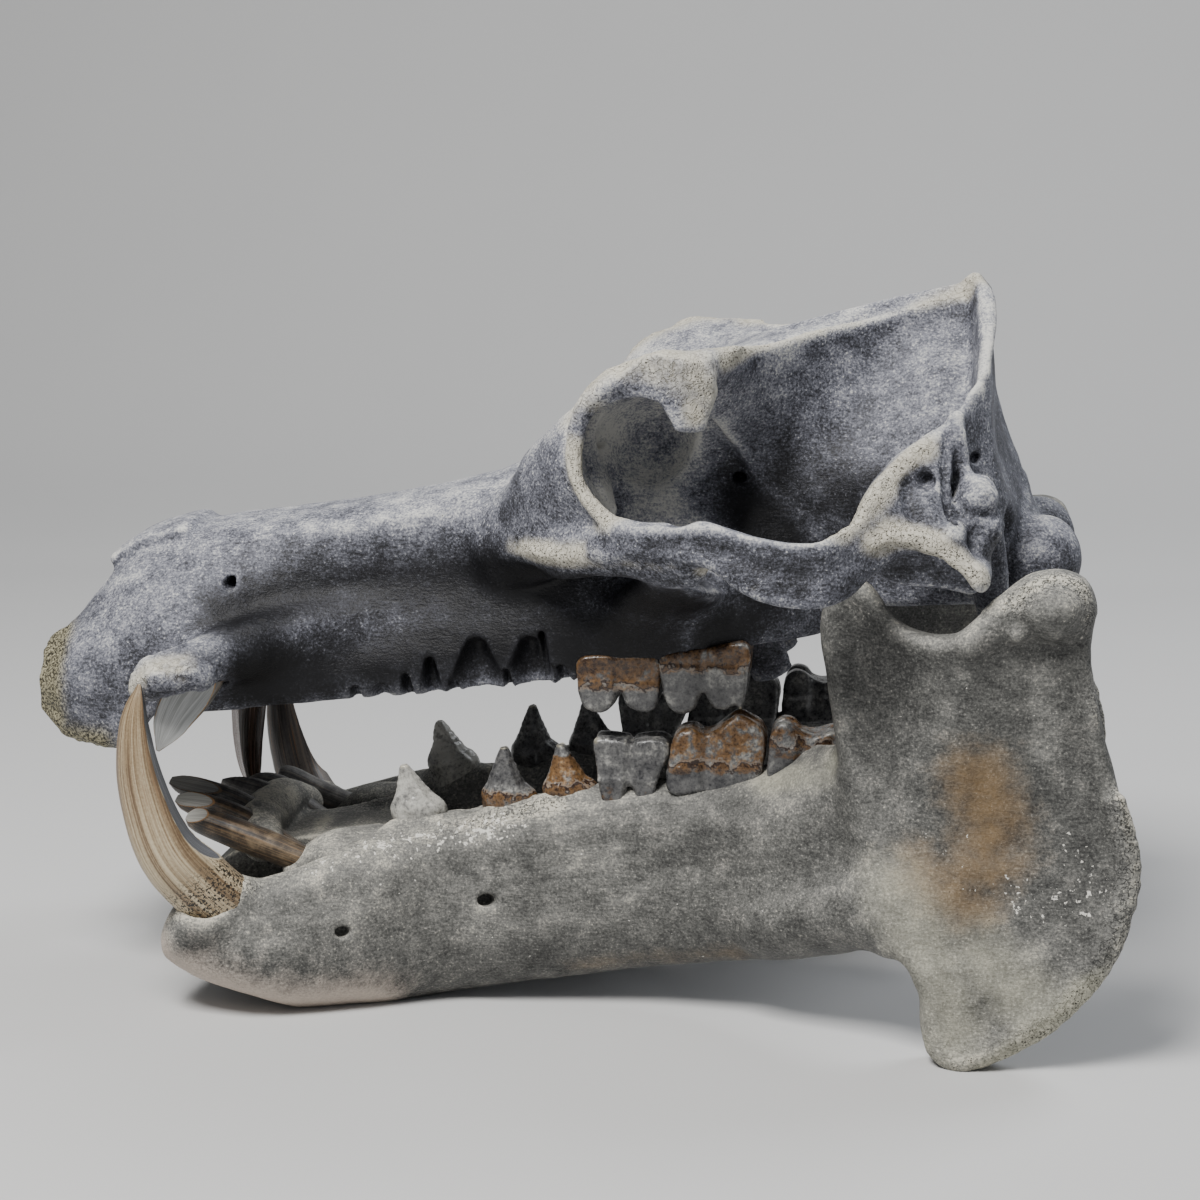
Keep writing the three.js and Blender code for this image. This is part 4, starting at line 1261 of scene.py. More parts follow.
def tooth_pair(name, block, seed, gum, way, rust, band):
    """A tooth and its mirror image. The points keep their height above the gum in mm (crown) and how much
    of the tooth took up iron (rust), which lies within a band of heights. On the far teeth rust is pushed
    below nought, which lightens them as painted light where they lie in shadow."""
    points, faces = skin(block)
    for side, sign in (("right", 1), ("left", -1)):
        shift = points * [1, sign, 1]
        order = faces if sign == 1 else faces[:, ::-1]
        piece = mesh_object(f"{name}_{side}", shift, order)
        rough = 0.35 * lumps(shift, 5, seed + (sign > 0)) + 0.16 * lumps(shift, 2, seed + 5)
        roughened(piece.data, shift, rough)
        mesh = thinned(piece, TOOTH_TRIANGLES)
        at = points_of(mesh)
        marks = block.marks if sign == 1 else [block.marks[0], -block.marks[1][::-1], block.marks[2]]
        field = block.field if sign == 1 else block.field[:, ::-1]
        solid = blurred((field < 0).astype(np.float32), 2)
        store(mesh, "ridge", 1 - 2 * sampled(solid, marks, at))
        crown = (at[:, 2] - gum) * way
        store(mesh, "crown", crown)
        above = eased(crown + 1.5 * lumps(at, 6, seed), band[0] - 2, band[0] + 1)
        below = eased(-crown, -band[1] - 2, 2 - band[1])
        share = rust if side == "left" else 0.4 * rust - 0.4  # painted light: the far teeth lie in shadow, and rust below nought lightens them
        store(mesh, "rust", share * above * below + 0.1 * lumps(at, 8, seed))
        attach(piece, "root")
    return len(faces)


# %% The shapes of the cheek teeth
def molar(outline, row, wide, gum, way, valleys):
    """A solid block: the plate of its own outline seen from the side, narrower towards the biting edge.
    Valleys run across the top at the given places, and one runs along it between the two rows of cusps.
    way is 1 for a tooth that points up and -1 for one that points down."""
    sides = np.array(outline, float)
    low, high = sides.min(0), sides.max(0)
    near_corner = (low[0] - 4, row - wide / 2 - 5, low[1] - 4)
    far_corner = (high[0] + 4, row + wide / 2 + 5, high[1] + 4)
    block = Block(near_corner, far_corner, TOOTH_CELL)
    edge = high[1] if way > 0 else low[1]

    def half(depth, x, z):
        return wide / 2 - 0.004 * np.clip((z - gum) * way, 0, 60) ** 2 + 0 * depth

    block.add(1, plate(outline, half, lambda x, z: row + 0 * x + 0 * z, edge=3.5, steps=6))
    block.carve(2.5, bar([(low[0] - 6, row, edge + 1.5 * way), (high[0] + 6, row, edge + 1.5 * way)], 3.2, 6))
    for place in valleys:
        block.carve(2, bar([(place, row - 9, edge), (place, row + 9, edge)], 1.6, 4))
        for side in (-1, 1):
            face = row + side * wide / 2
            block.press(3.2, 3.0, [(place, face, gum - 4 * way), (place + 1, face - side, edge)])
    for side in (-1, 1):
        face = row + side * wide / 2
        block.press(-0.9, 1.6, [(low[0] + 3, face, gum + 4 * way), (high[0] - 3, face, gum + 5 * way)])
        for place in np.linspace(low[0] + 6, high[0] - 6, 5):
            block.press(0.6, 1.4, [(place, face, gum + 6 * way), (place + 1.5, face - side, edge)])
    return block


def cone_tooth(x, y, gum, tall, tip, heel):
    """A premolar: a cone whose tip lies `tip` mm behind its middle, with a low heel behind and a root."""
    block = Block((x - 26, y - 18, gum - 14), (x + 28, y + 18, gum + tall + 5), TOOTH_CELL)
    body = [(x - 2, y, gum - 10), (x - 1, y, gum + 3), (x + tip, y, gum + tall)]
    low_heel = [(x + 5, y, gum - 8), (x + 9, y, gum + 2), (x + 11, y, gum + heel)]
    block.add(
        2.5,
        bar(body, [9.5, 11, 1.6], [11, 14.5, 1.9], up=(1, 0, 0)),
        bar(low_heel, [7, 8, 3], [7, 9, 4], up=(1, 0, 0)),
    )
    for side in (-1, 1):  # ridges from the tip to the heel
        ridge = [
            (x + tip, y + 2 * side, gum + tall),
            (x + 5, y + 7 * side, gum + 12),
            (x + 14, y + 8 * side, gum + 4),
        ]
        block.press(-1.4, 2.0, ridge)
    block.press(1.2, 1.6, [(x - 6, y + 9, gum + 1), (x - 3, y + 7, gum + tall * 0.5)])  # two furrows
    block.press(1.2, 1.6, [(x + 3, y - 10, gum), (x + 2, y - 6, gum + 14)])
    block.carve(1.2, ball((x + tip, y, gum + tall + 1.5), (3, 3, 3)))  # the worn tip
    return block


# %% The rows of cheek teeth
rows = (  # name, block, height of the gum, the way it points, how much rust and between which heights
    (
        "lower_molar_1",
        molar([
            (12, 154), (18, 157), (33, 156), (47, 157.5), (54, 155), (55, 148), (49, 134), (46, 118),
            (37, 116), (34, 127), (31, 127), (28, 116), (18, 118), (14, 138),
        ], 60, 29, 129, 1, (33,)),
        129, 1, 0.5, (-8, 2),
    ),
    (
        "lower_molar_2",
        molar([
            (56, 128), (56, 150), (59, 161), (67, 165), (74, 162), (80, 163), (86, 168), (93, 173),
            (100, 171), (107, 166), (110, 157), (108, 140), (106, 128), (84, 130),
        ], 65, 31, 139, 1, (77,)),
        139, 1, 0.8, (1, 40),
    ),
    (
        "lower_molar_3",
        molar([
            (113, 138), (112, 156), (114, 167), (119, 171), (125, 170), (130, 166), (138, 164), (147, 167),
            (152, 163), (153, 150), (152, 140), (132, 138),
        ], 71, 29, 152, 1, (131,)),
        152, 1, 0.6, (0, 40),
    ),
    (
        "upper_molar_1",
        molar([
            (5, 204), (3, 190), (5, 178), (10, 173), (18, 172), (24, 177), (27, 184), (31, 176), (39, 173),
            (46, 174), (49, 182), (49, 204), (28, 206),
        ], 60, 32, 194, -1, (27,)),
        194, -1, 0.9, (-20, 9),
    ),
    (
        "upper_molar_2",
        molar([
            (51, 206), (51, 188), (55, 176), (62, 172), (69, 175), (74, 184), (80, 177), (86, 175),
            (92, 178), (96, 176), (99, 190), (99, 214), (76, 211),
        ], 60, 33, 204, -1, (74,)),
        206, -1, 0.85, (-20, 10),
    ),
    ("lower_premolar_2", cone_tooth(-93, 57, 106, 29, -8, 8), 106, 1, -0.4, (-30, 90)),
    ("lower_premolar_3", cone_tooth(-40, 55, 114, 33, -2, 7), 114, 1, 0.8, (-9, 9)),
    ("lower_premolar_4", cone_tooth(-4, 57, 120, 30, -5, 6), 120, 1, 0.9, (-4, 24)),
)
for number, (name, block, gum, way, rust, band) in enumerate(rows):
    print(name, tooth_pair(name, block, 40 + number, gum, way, rust, band))

# %% [markdown]
# ## Tusks and incisors
#
# These teeth grow as long curved rods, so each is a ring carried along a path: a surface of two parameters,
# the way along and the turn round. The upper and lower tusks rub on each other, which grinds a flat or
# hollow face on each. That face is a plane cut: points beyond it are moved back onto it.

# %% Rods carried along a path
def rod(name, side, points, out, rear, cuts, steps=150, turns=96, seed=0):
    """A ring carried along a path. out and rear are its half sizes across and in the plane of the curve,
    at a share from 0 to 1 along it. Each cut is (direction, limit): a point further out than
    limit(share) along direction, in mm, is moved back onto that plane. The points keep the ring's own
    place (grown) for streaks that run lengthways, how worn they are (worn) and the share along (along)."""
    centres = path(points, steps)
    share = np.linspace(0, 1, steps + 1)[:, None]
    tangent = np.gradient(centres, axis=0)
    tangent /= np.linalg.norm(tangent, axis=1)[:, None]
    across = np.array([0, 1.0, 0]) - tangent * tangent[:, 1:2]
    across /= np.linalg.norm(across, axis=1)[:, None]
    behind = np.cross(across, tangent)
    behind *= np.sign(behind[:, :1])
    turn = np.linspace(0, 2 * np.pi, turns, endpoint=False)[None, :]
    u = out(share) * np.cos(turn)
    v = rear(share) * np.sin(turn)
    worn = np.zeros(u.shape)
    for (to_out, to_rear), limit in cuts:
        beyond = u * to_out + v * to_rear - limit(share)
        over = np.where(beyond > 0, beyond, 0)
        moved = over + 0.12 * over  # a little further than the plane, so that the face is hollow
        u, v = u - moved * to_out, v - moved * to_rear
        worn = np.maximum(worn, eased(beyond, 0.1, 0.9))
    grid = centres[:, None] + u[..., None] * across[:, None] + v[..., None] * behind[:, None]
    flat = grid.reshape(-1, 3)
    rows, columns = np.meshgrid(np.arange(steps), np.arange(turns), indexing="ij")
    a = rows * turns + columns
    b = rows * turns + (columns + 1) % turns
    quads = np.stack([a, b, b + turns, a + turns], axis=-1).reshape(-1, 4)
    first, last = len(flat), len(flat) + 1
    flat = np.vstack([flat, grid[0].mean(0), grid[-1].mean(0) + tangent[-1] * 0.4])
    ends = np.arange(turns)
    following = (ends + 1) % turns
    caps = np.concatenate(
        [
            np.stack([following, ends, np.full(turns, first)], axis=1),
            np.stack([steps * turns + ends, steps * turns + following, np.full(turns, last)], axis=1),
        ]
    )
    faces = np.concatenate([quads[:, [0, 1, 2]], quads[:, [0, 2, 3]], caps])
    size = float(np.mean(out(share)))
    lengthways = 0 * turn + 0.06 * steps * share
    grown = np.stack([np.cos(turn) * size + 0 * share, np.sin(turn) * size + 0 * share, lengthways], axis=-1)
    grown = np.vstack([grown.reshape(-1, 3), [0, 0, 0], [0, 0, 9]])
    flat = flat * [1, side, 1]
    if side * np.linalg.det(np.stack([across[0], behind[0], tangent[0]])) < 0:
        faces = faces[:, ::-1]
    piece = mesh_object(name, flat, faces)
    mesh = piece.data
    fade = np.append(1 - worn.ravel(), [0, 0])
    ribs = 0.30 * lumps(grown + seed, 3.0, 70 + seed) + 0.12 * lumps(grown, 1.2, 71)
    roughened(mesh, flat, fade * ribs + 0.1 * lumps(flat, 6, 72))
    store(mesh, "grown", grown)
    store(mesh, "worn", np.append(worn.ravel(), [0, worn[-1].mean()]))
    store(mesh, "along", np.append((0 * turn + share).ravel(), [0, 1]))
    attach(piece, "root")
    return piece


# %% The lower tusks
lower_out = line((0, 15.5), (0.3, 15.5), (0.6, 13), (0.85, 8), (0.95, 4.5), (1, 1.2))
lower_rear = line((0, 20), (0.3, 20), (0.55, 17), (0.75, 12.5), (0.9, 7.5), (1, 1.5))
lower_path = [
    (-184, 104, 52), (-204, 117, 74), (-222, 125, 100), (-233, 128, 136), (-236, 130, 168), (-234, 130, 194),
]
lower_cut = line(
    (0, 30), (0.22, 21), (0.34, 15), (0.5, 11), (0.65, 8.2), (0.8, 5.4), (0.93, 2.6), (1, 0.2),
)
left_lower = rod(
    "lower_tusk_near", -1, lower_path, lower_out, lower_rear, [((-0.17, 0.985), lower_cut)],
)
right_lower = rod(
    "lower_tusk_far", 1,
    [(-178, 104, 50), (-195, 116, 66), (-206, 123, 84), (-213, 126, 112), (-216, 127, 134), (-215, 127, 156)],
    line((0, 15), (0.5, 13), (0.85, 8), (1, 1.5)), line((0, 18), (0.5, 15), (0.8, 10), (1, 1.5)),
    [((0.3, 0.954), line((0, 30), (0.35, 14), (0.6, 7), (0.9, 3), (1, 0)))], seed=3,
)
for piece, node in ((left_lower, "lower_tusk_left"), (right_lower, "lower_tusk_right")):
    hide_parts(node)
    print(piece.name, "points:", len(piece.data.vertices))

# %% The upper tusks
left_upper = rod(
    "upper_tusk_near", -1,
    [(-202, 66, 200), (-212, 84, 190), (-222, 98, 174), (-232, 107, 151)],
    line((0, 9), (0.5, 13.5), (0.8, 10), (1, 1.0)), line((0, 9), (0.5, 14), (0.8, 10), (1, 1.0)),
    [((0.97, 0.24), line((0, 30), (0.35, 11), (0.55, 6.5), (0.8, 2.8), (1, 0)))], seed=5,
)
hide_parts("upper_tusk_left")
right_upper = rod(
    "upper_tusk_far", 1,
    [(-200, 72, 200), (-218, 88, 182), (-230, 97, 150), (-234, 97, 108), (-231, 97, 74)],
    line((0, 13), (0.6, 12), (0.85, 9), (0.96, 5), (1, 1.5)),
    line((0, 14), (0.6, 12), (0.85, 9), (0.96, 5), (1, 1.5)),
    [((-0.5, -0.866), line((0, 30), (0.45, 12), (0.7, 7), (0.9, 4), (1, 0)))], seed=7,
)
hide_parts("upper_tusk_right")
print("lowest point of the near upper tusk:", points_of(left_upper.data)[:, 2].min().round(), "mm")

# %% The incisors
for order, row, tip in (("first", 15, (-252, 110)), ("second", 38, (-242, 105)), ("third", 62, (-229, 101))):
    for side, sign, back in (("left", -1, 0), ("right", 1, 24)):  # the far ones are broken off shorter
        front = (tip[0] + back, row, tip[1] - 0.3 * back)
        inner = 62 - row  # mm from the outermost incisor: the inner ones have longer roots
        piece = rod(
            f"incisor_rod_{order}_{side}", sign,
            [(-160 - inner * 0.4, row, 77 - inner * 0.25), (-182 - inner * 0.2, row, 85 - inner * 0.1),
             (-210 + 0.5 * back, row, 95 - 0.1 * back), front],
            line((0, 8), (0.5, 9), (0.8, 8), (0.95, 5.4), (1, 2.5)),
            line((0, 8), (0.5, 9), (0.8, 8), (0.95, 5.8), (1, 2.5)),
            [((0.62, 0.785), line((0, 30), (0.76, 8.2), (0.88, 4.4), (1, 0)))],
            steps=80, turns=56, seed=9 + row,
        )
        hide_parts(f"incisor_{order}_{side}")
print("points of an incisor:", len(piece.data.vertices))

# %% [markdown]
# ## Finishes: node helpers
#
# Every finish is a node tree. Writing each node by hand hides the idea, so a small bench hands out the
# nodes that a finish needs over and over: noise, a soft threshold, a mixed colour and a sum.

# %% A bench for node trees
class Bench:
    def __init__(self, tree):
        self.tree = tree

    def node(self, kind, inputs=None, **settings):
        new = self.tree.nodes.new(kind)
        for key, value in settings.items():
            setattr(new, key, value)
        for key, value in (inputs or {}).items():
            self.feed(value, new.inputs[key])
        return new

    def feed(self, value, socket):
        """Links a socket to an input, or sets the input's own value."""
        if isinstance(value, bpy.types.NodeSocket):
            self.tree.links.new(value, socket)
        else:
            socket.default_value = value

    def object_place(self):
        """Each point's place in metres, which the patterns are laid out on."""
        return self.node("ShaderNodeTexCoord").outputs["Object"]

    def noise(self, vector, scale, detail=3.0, rough=0.6):
        inputs = {"Vector": vector, "Scale": scale, "Detail": detail, "Roughness": rough}
        return self.node("ShaderNodeTexNoise", inputs).outputs["Fac"]

    def stretched(self, vector, scale):
        return self.node("ShaderNodeMapping", {"Vector": vector, "Scale": scale}).outputs["Vector"]

    def soft(self, value, low, high, out_low=0.0, out_high=1.0):
        """A soft threshold: a smooth step from low to high."""
        inputs = {"Value": value, "From Min": low, "From Max": high, "To Min": out_low, "To Max": out_high}
        return self.node("ShaderNodeMapRange", inputs, interpolation_type="SMOOTHSTEP").outputs["Result"]

    def math(self, kind, a, b=0.0):
        return self.node("ShaderNodeMath", {0: a, 1: b}, operation=kind).outputs[0]

    def product(self, a, b):
        return self.math("MULTIPLY", a, b)

    def sum(self, *terms):
        """Each term is a socket or number, or a pair of one and its weight."""
        total = None
        for term in terms:
            value, weight = term if isinstance(term, tuple) else (term, 1.0)
            part = value if weight == 1.0 else self.product(value, weight)
            total = part if total is None else self.math("ADD", total, part)
        return total

    def mix(self, factor, a, b):
        """A colour that goes from a to b as the factor goes from 0 to 1."""
        new = self.tree.nodes.new("ShaderNodeMix")
        new.data_type = "RGBA"
        self.feed(factor, new.inputs[0])
        self.feed(a, new.inputs[6])
        self.feed(b, new.inputs[7])
        return new.outputs[2]

    def ramp(self, value, stops):
        """A colour for each value: stops are (place, colour), with even blends between them."""
        new = self.node("ShaderNodeValToRGB", {"Fac": value})
        elements = new.color_ramp.elements
        while len(elements) < len(stops):
            elements.new(0.5)
        for element, (place, colour) in zip(elements, stops):
            element.position = place
            element.color = colour
        return new.outputs["Color"]

    def kept(self, name, as_vector=False):
        """A number or a triple that the mesh keeps for each of its points."""
        found = self.node("ShaderNodeAttribute", attribute_type="GEOMETRY", attribute_name=name)
        return found.outputs["Vector" if as_vector else "Fac"]

    def bumped(self, height, strength, distance, shader):
        """Tilts the surface as if it rose and fell with the height, in metres, without moving it."""
        inputs = {"Strength": strength, "Distance": distance, "Height": height}
        self.feed(self.node("ShaderNodeBump", inputs).outputs["Normal"], shader.inputs["Normal"])


# %% Colours, finishes and groups
def shade(red, green, blue):
    return (red, green, blue, 1.0)


def new_finish(name):
    """A material with a bench for its nodes and the shader that they feed."""
    finish = bpy.data.materials.new(name)
    finish.use_nodes = True
    return finish, Bench(finish.node_tree), finish.node_tree.nodes["Principled BSDF"]


def group(name, inputs, outputs):
    """An empty node group with named sockets. inputs are (name, kind, value), and outputs (name, kind)."""
    tree = bpy.data.node_groups.new(name, "ShaderNodeTree")
    for socket, kind, value in inputs:
        made = tree.interface.new_socket(socket, in_out="INPUT", socket_type=f"NodeSocket{kind}")
        if value is not None:
            made.default_value = value
    for socket, kind in outputs:
        tree.interface.new_socket(socket, in_out="OUTPUT", socket_type=f"NodeSocket{kind}")
    given = tree.nodes.new("NodeGroupInput").outputs
    put = tree.nodes.new("NodeGroupOutput").inputs
    return tree, Bench(tree), given, put


# %% [markdown]
# ## What old bone is like close up
#
# Bone that lay in the ground has soft clouds of colour, fine fibres along its length, a sandy grain and
# scattered pores. One group gives all of these for a place on the bone, and each bone mixes them its own way.

# %% Bone grain
GRAIN_PARTS = ("Cloud", "Patch", "Grain", "Fibre", "Crack", "Pores", "Height")

bone_grain, bench, given, put = group(
    "bone_grain",
    [("Vector", "Vector", None), ("Rough", "Float", 0.0)],
    [(key, "Float") for key in GRAIN_PARTS],
)
where = given["Vector"]
cloud = bench.noise(where, 15.0, 2.0, 0.55)
patch = bench.noise(where, 70.0, 4.0, 0.68)
grain = bench.noise(where, 700.0, 2.0, 0.75)
fibre = bench.noise(bench.stretched(where, (120.0, 760.0, 700.0)), 1.0, 2.0, 0.7)
ripple = bench.noise(where, 210.0, 2.0, 0.6)
crack = bench.soft(bench.math("ABSOLUTE", bench.sum(ripple, -0.5)), 0.0, 0.05)
gap = bench.node("ShaderNodeTexVoronoi", {"Vector": where, "Scale": 520.0}).outputs["Distance"]
size = bench.soft(bench.sum(patch, (grain, 0.5), (given["Rough"], 0.35)), 0.75, 1.15, 0.02, 0.36)
pores = bench.soft(bench.math("SUBTRACT", size, gap), 0.0, 0.14)
bench.feed(cloud, put["Cloud"])
bench.feed(patch, put["Patch"])
bench.feed(grain, put["Grain"])
bench.feed(fibre, put["Fibre"])
bench.feed(crack, put["Crack"])
bench.feed(pores, put["Pores"])
torn = bench.product(crack, given["Rough"])
height = bench.sum((patch, 0.9), (grain, 0.55), (fibre, 0.4), (pores, -0.8), (torn, 1.1))
bench.feed(height, put["Height"])
print("nodes in the bone's grain:", len(bone_grain.nodes))

# %% [markdown]
# ## How light the bone is at each place
#
# Handling and drying leave the raised edges pale. The hollows are darkened as painted shade, and faces
# that point up are lightened partly as dust and partly as painted light from above. The tone adds up how
# far a place stands out, how much it faces up and how rough it is, and the grain breaks it all up. A ramp
# then turns the tone into a colour, from nearly black to cream.

# %% The tone of bone
bone_tone, bench, given, put = group(
    "bone_tone",
    [
        ("Ridge", "Float", 0.0), ("Hollow", "Float", 0.0), ("Up", "Float", 0.0), ("Cloud", "Float", 0.5),
        ("Patch", "Float", 0.5), ("Grain", "Float", 0.5), ("Fibre", "Float", 0.5), ("Crack", "Float", 1.0),
        ("Rough", "Float", 0.0), ("Amount", "Float", 0.0),
    ],
    [("Tone", "Float")],
)
# Up lightens faces that point up, partly dust and partly painted light; Hollow darkens as painted shade
tone = bench.sum(
    (given["Cloud"], 0.45), (given["Patch"], 0.95), (given["Grain"], 1.15), (given["Fibre"], 0.5),
    (bench.soft(given["Up"], -0.2, 0.9), 0.26), (bench.soft(given["Ridge"], 0.02, 0.40), 0.30),
    (bench.soft(given["Hollow"], 0.0, 0.5), -0.22), (bench.soft(given["Grain"], 0.64, 0.74), 0.25),
    (bench.product(bench.sum(given["Crack"], -0.8), given["Rough"]), 0.5),
    given["Amount"], -1.525,
)
bench.feed(tone, put["Tone"])
print("nodes in the bone's tone:", len(bone_tone.nodes))


# %% A finish for bone
def bone_finish(name, stops, amount, extras):
    """A ramp of shades over the bone's tone. extras(bench, colour, parts) adds what only this bone has, and
    gives the colour back."""
    finish, bench, shader = new_finish(name)
    where = bench.object_place()
    facing = bench.node("ShaderNodeSeparateXYZ", {0: bench.node("ShaderNodeNewGeometry").outputs["Normal"]})
    scar = bench.kept("scar")
    grain = bench.node("ShaderNodeGroup", node_tree=bone_grain)
    bench.feed(where, grain.inputs["Vector"])
    bench.feed(scar, grain.inputs["Rough"])
    parts = {key: grain.outputs[key] for key in GRAIN_PARTS}
    tone = bench.node("ShaderNodeGroup", node_tree=bone_tone)
    bench.feed(bench.kept("ridge"), tone.inputs["Ridge"])
    bench.feed(bench.kept("hollow"), tone.inputs["Hollow"])
    bench.feed(facing.outputs["Z"], tone.inputs["Up"])
    for key in ("Cloud", "Patch", "Grain", "Fibre", "Crack"):
        bench.feed(parts[key], tone.inputs[key])
    bench.feed(scar, tone.inputs["Rough"])
    bench.feed(amount(bench, scar), tone.inputs["Amount"])
    parts.update(scar=scar, up=facing.outputs["Z"], where=where, tone=tone.outputs["Tone"])
    colour = bench.ramp(parts["tone"], stops)
    colour = extras(bench, colour, parts)
    colour = bench.mix(bench.product(parts["Pores"], 0.8), colour, shade(0.014, 0.013, 0.012))
    bench.feed(colour, shader.inputs["Base Color"])
    bench.feed(bench.soft(parts["tone"], 0.2, 0.9, 0.50, 0.85), shader.inputs["Roughness"])
    bench.bumped(parts["Height"], 0.75, 0.0011, shader)
    shader.inputs["Specular IOR Level"].default_value = 0.22
    return finish


# %% The cranium's finish
def cranium_amount(bench, scar):
    # the shade mask darkens the tone as painted shade, and below nought lightens it as painted light
    return bench.sum((scar, 0.26), (bench.kept("shade"), -0.42), 0.385)


def cranium_extras(bench, colour, parts):
    """Painted shade where the shade mask is high, cream on the worn crests and brows and, partly as painted
    light from above, on faces that point up, and the spongy yellow-grey of the broken front.
    """
    # painted shade: the colour goes nearly black where the shade mask is high
    painted_shadow = bench.soft(bench.kept("shade"), 0.15, 0.9, 0.0, 0.85)
    colour = bench.mix(painted_shadow, colour, shade(0.005, 0.005, 0.006))
    # faces that point up get cream partly as dust and partly as painted light from above
    worn = bench.sum((parts["scar"], 1.0), (parts["Patch"], 0.6), (parts["up"], 0.25))
    cream = bench.mix(parts["Grain"], shade(0.30, 0.275, 0.20), shade(0.74, 0.70, 0.60))
    colour = bench.mix(bench.soft(worn, 0.55, 1.15, 0.0, 0.88), colour, cream)
    holes = bench.soft(parts["Grain"], 0.42, 0.6)
    spongy = bench.mix(holes, shade(0.03, 0.027, 0.018), shade(0.34, 0.31, 0.21))
    return bench.mix(bench.kept("broken"), colour, spongy)


cranium_finish = bone_finish(
    "cranium_bone",
    [
        (0.0, shade(0.012, 0.012, 0.014)), (0.25, shade(0.040, 0.041, 0.048)),
        (0.45, shade(0.105, 0.108, 0.130)), (0.65, shade(0.225, 0.230, 0.264)),
        (0.85, shade(0.43, 0.43, 0.43)), (1.0, shade(0.60, 0.59, 0.55)),
    ],
    cranium_amount, cranium_extras,
)
cranium_piece.data.materials.append(cranium_finish)
print("nodes in the cranium's finish:", len(cranium_finish.node_tree.nodes))


# %% The jaw's finish
def jaw_amount(bench, scar):
    place = bench.node("ShaderNodeSeparateXYZ", {0: bench.object_place()}).outputs["X"]
    return bench.sum((scar, 0.18), (bench.soft(place, -0.20, 0.22), -0.14), (bench.kept("tint"), 0.26), 0.43)


def jaw_extras(bench, colour, parts):
    """Iron stains, paler places, the pinkish underside of the chin made paler as painted light, and crusts
    of white in specks.
    """
    rust = bench.mix(parts["Patch"], shade(0.125, 0.070, 0.026), shade(0.28, 0.175, 0.068))
    stained = bench.sum((bench.kept("stain"), 1.0), (parts["Patch"], 0.9), (parts["Grain"], 0.3))
    stained = bench.soft(stained, 0.85, 1.75)
    colour = bench.mix(bench.product(stained, 0.76), colour, rust)
    pale = bench.sum((bench.kept("tint"), 0.8), (parts["scar"], 0.5), (parts["Patch"], 0.6))
    warm = bench.mix(parts["Grain"], shade(0.245, 0.235, 0.17), shade(0.62, 0.60, 0.47))
    colour = bench.mix(bench.soft(pale, 0.6, 1.4, 0.0, 0.6), colour, warm)
    # painted light: the chin's downward faces are lifted to a pale pinkish colour
    clean = bench.sum((bench.kept("clean"), 1.0), (parts["Patch"], 0.7), (parts["Grain"], 0.4))
    pinkish = bench.mix(parts["Grain"], shade(0.32, 0.275, 0.235), shade(0.66, 0.57, 0.49))
    colour = bench.mix(bench.soft(clean, 0.58, 1.32), colour, pinkish)
    flakes = bench.noise(parts["where"], 300.0, 2.0, 0.6)
    flakes = bench.soft(bench.sum(flakes, (parts["Cloud"], 0.25), (bench.kept("chalk"), 0.235)), 0.89, 0.92)
    return bench.mix(flakes, colour, shade(0.72, 0.70, 0.64))


jaw_finish = bone_finish(
    "jaw_bone",
    [
        (0.0, shade(0.030, 0.030, 0.029)), (0.25, shade(0.074, 0.074, 0.070)),
        (0.45, shade(0.128, 0.127, 0.119)), (0.65, shade(0.205, 0.202, 0.188)),
        (0.85, shade(0.34, 0.33, 0.29)), (1.0, shade(0.54, 0.51, 0.43)),
    ],
    jaw_amount, jaw_extras,
)
jaw_piece.data.materials.append(jaw_finish)
print("nodes in the jaw's finish:", len(jaw_finish.node_tree.nodes))

# %% [markdown]
# ## Enamel and ivory
#
# The teeth took up minerals unevenly. The cheek teeth are grey with orange-brown clouds and a line of orange
# near the gum. The tusks have streaks that run from root to tip, so their noise is read from each rod's own
# coordinates, squeezed along its length.

# %% The cheek teeth's finish
tooth_finish, bench, shader = new_finish("cheek_tooth_enamel")
where = bench.object_place()
clouds = bench.noise(where, 110.0, 3.0, 0.65)
grain = bench.noise(where, 520.0, 2.0, 0.7)
crown = bench.kept("crown")
ridge = bench.kept("ridge")
rust = bench.kept("rust")
# rust below nought lightens the tone; on the far teeth this is painted light
tone = bench.sum(
    (clouds, 1.0), (grain, 0.6), (bench.soft(ridge, 0.2, 0.6), 0.25), (bench.soft(crown, -2.0, 8.0), 0.10),
    (bench.soft(rust, -0.1, -0.5), 0.38), -0.46,
)
greys = [
    (0.2, shade(0.026, 0.026, 0.029)), (0.5, shade(0.118, 0.117, 0.115)), (0.85, shade(0.46, 0.45, 0.41)),
]
ambers = [
    (0.2, shade(0.030, 0.016, 0.010)), (0.5, shade(0.185, 0.100, 0.040)), (0.85, shade(0.52, 0.38, 0.21)),
]
grey = bench.ramp(tone, greys)
amber = bench.ramp(tone, ambers)
warped = bench.sum(crown, (bench.sum(clouds, -0.5), 26.0))
where_amber = bench.soft(bench.sum((clouds, -1.6), (grain, 0.4), (rust, 0.75)), -0.22, 0.06)
colour = bench.mix(where_amber, grey, amber)
worn_edge = bench.product(bench.soft(ridge, 0.30, 0.60), bench.soft(crown, 10.0, 18.0))
colour = bench.mix(bench.product(worn_edge, 0.6), colour, shade(0.50, 0.45, 0.30))
dark_line = bench.product(bench.soft(warped, 5.0, 5.8), bench.soft(warped, 7.4, 6.6))
pale_line = bench.product(bench.soft(warped, 6.8, 7.4), bench.soft(warped, 9.0, 8.2))
line_share = bench.soft(rust, 0.15, 0.5)
colour = bench.mix(bench.product(dark_line, line_share), colour, shade(0.030, 0.018, 0.014))
colour = bench.mix(bench.product(pale_line, bench.product(line_share, 0.6)), colour, shade(0.24, 0.21, 0.18))
bench.feed(colour, shader.inputs["Base Color"])
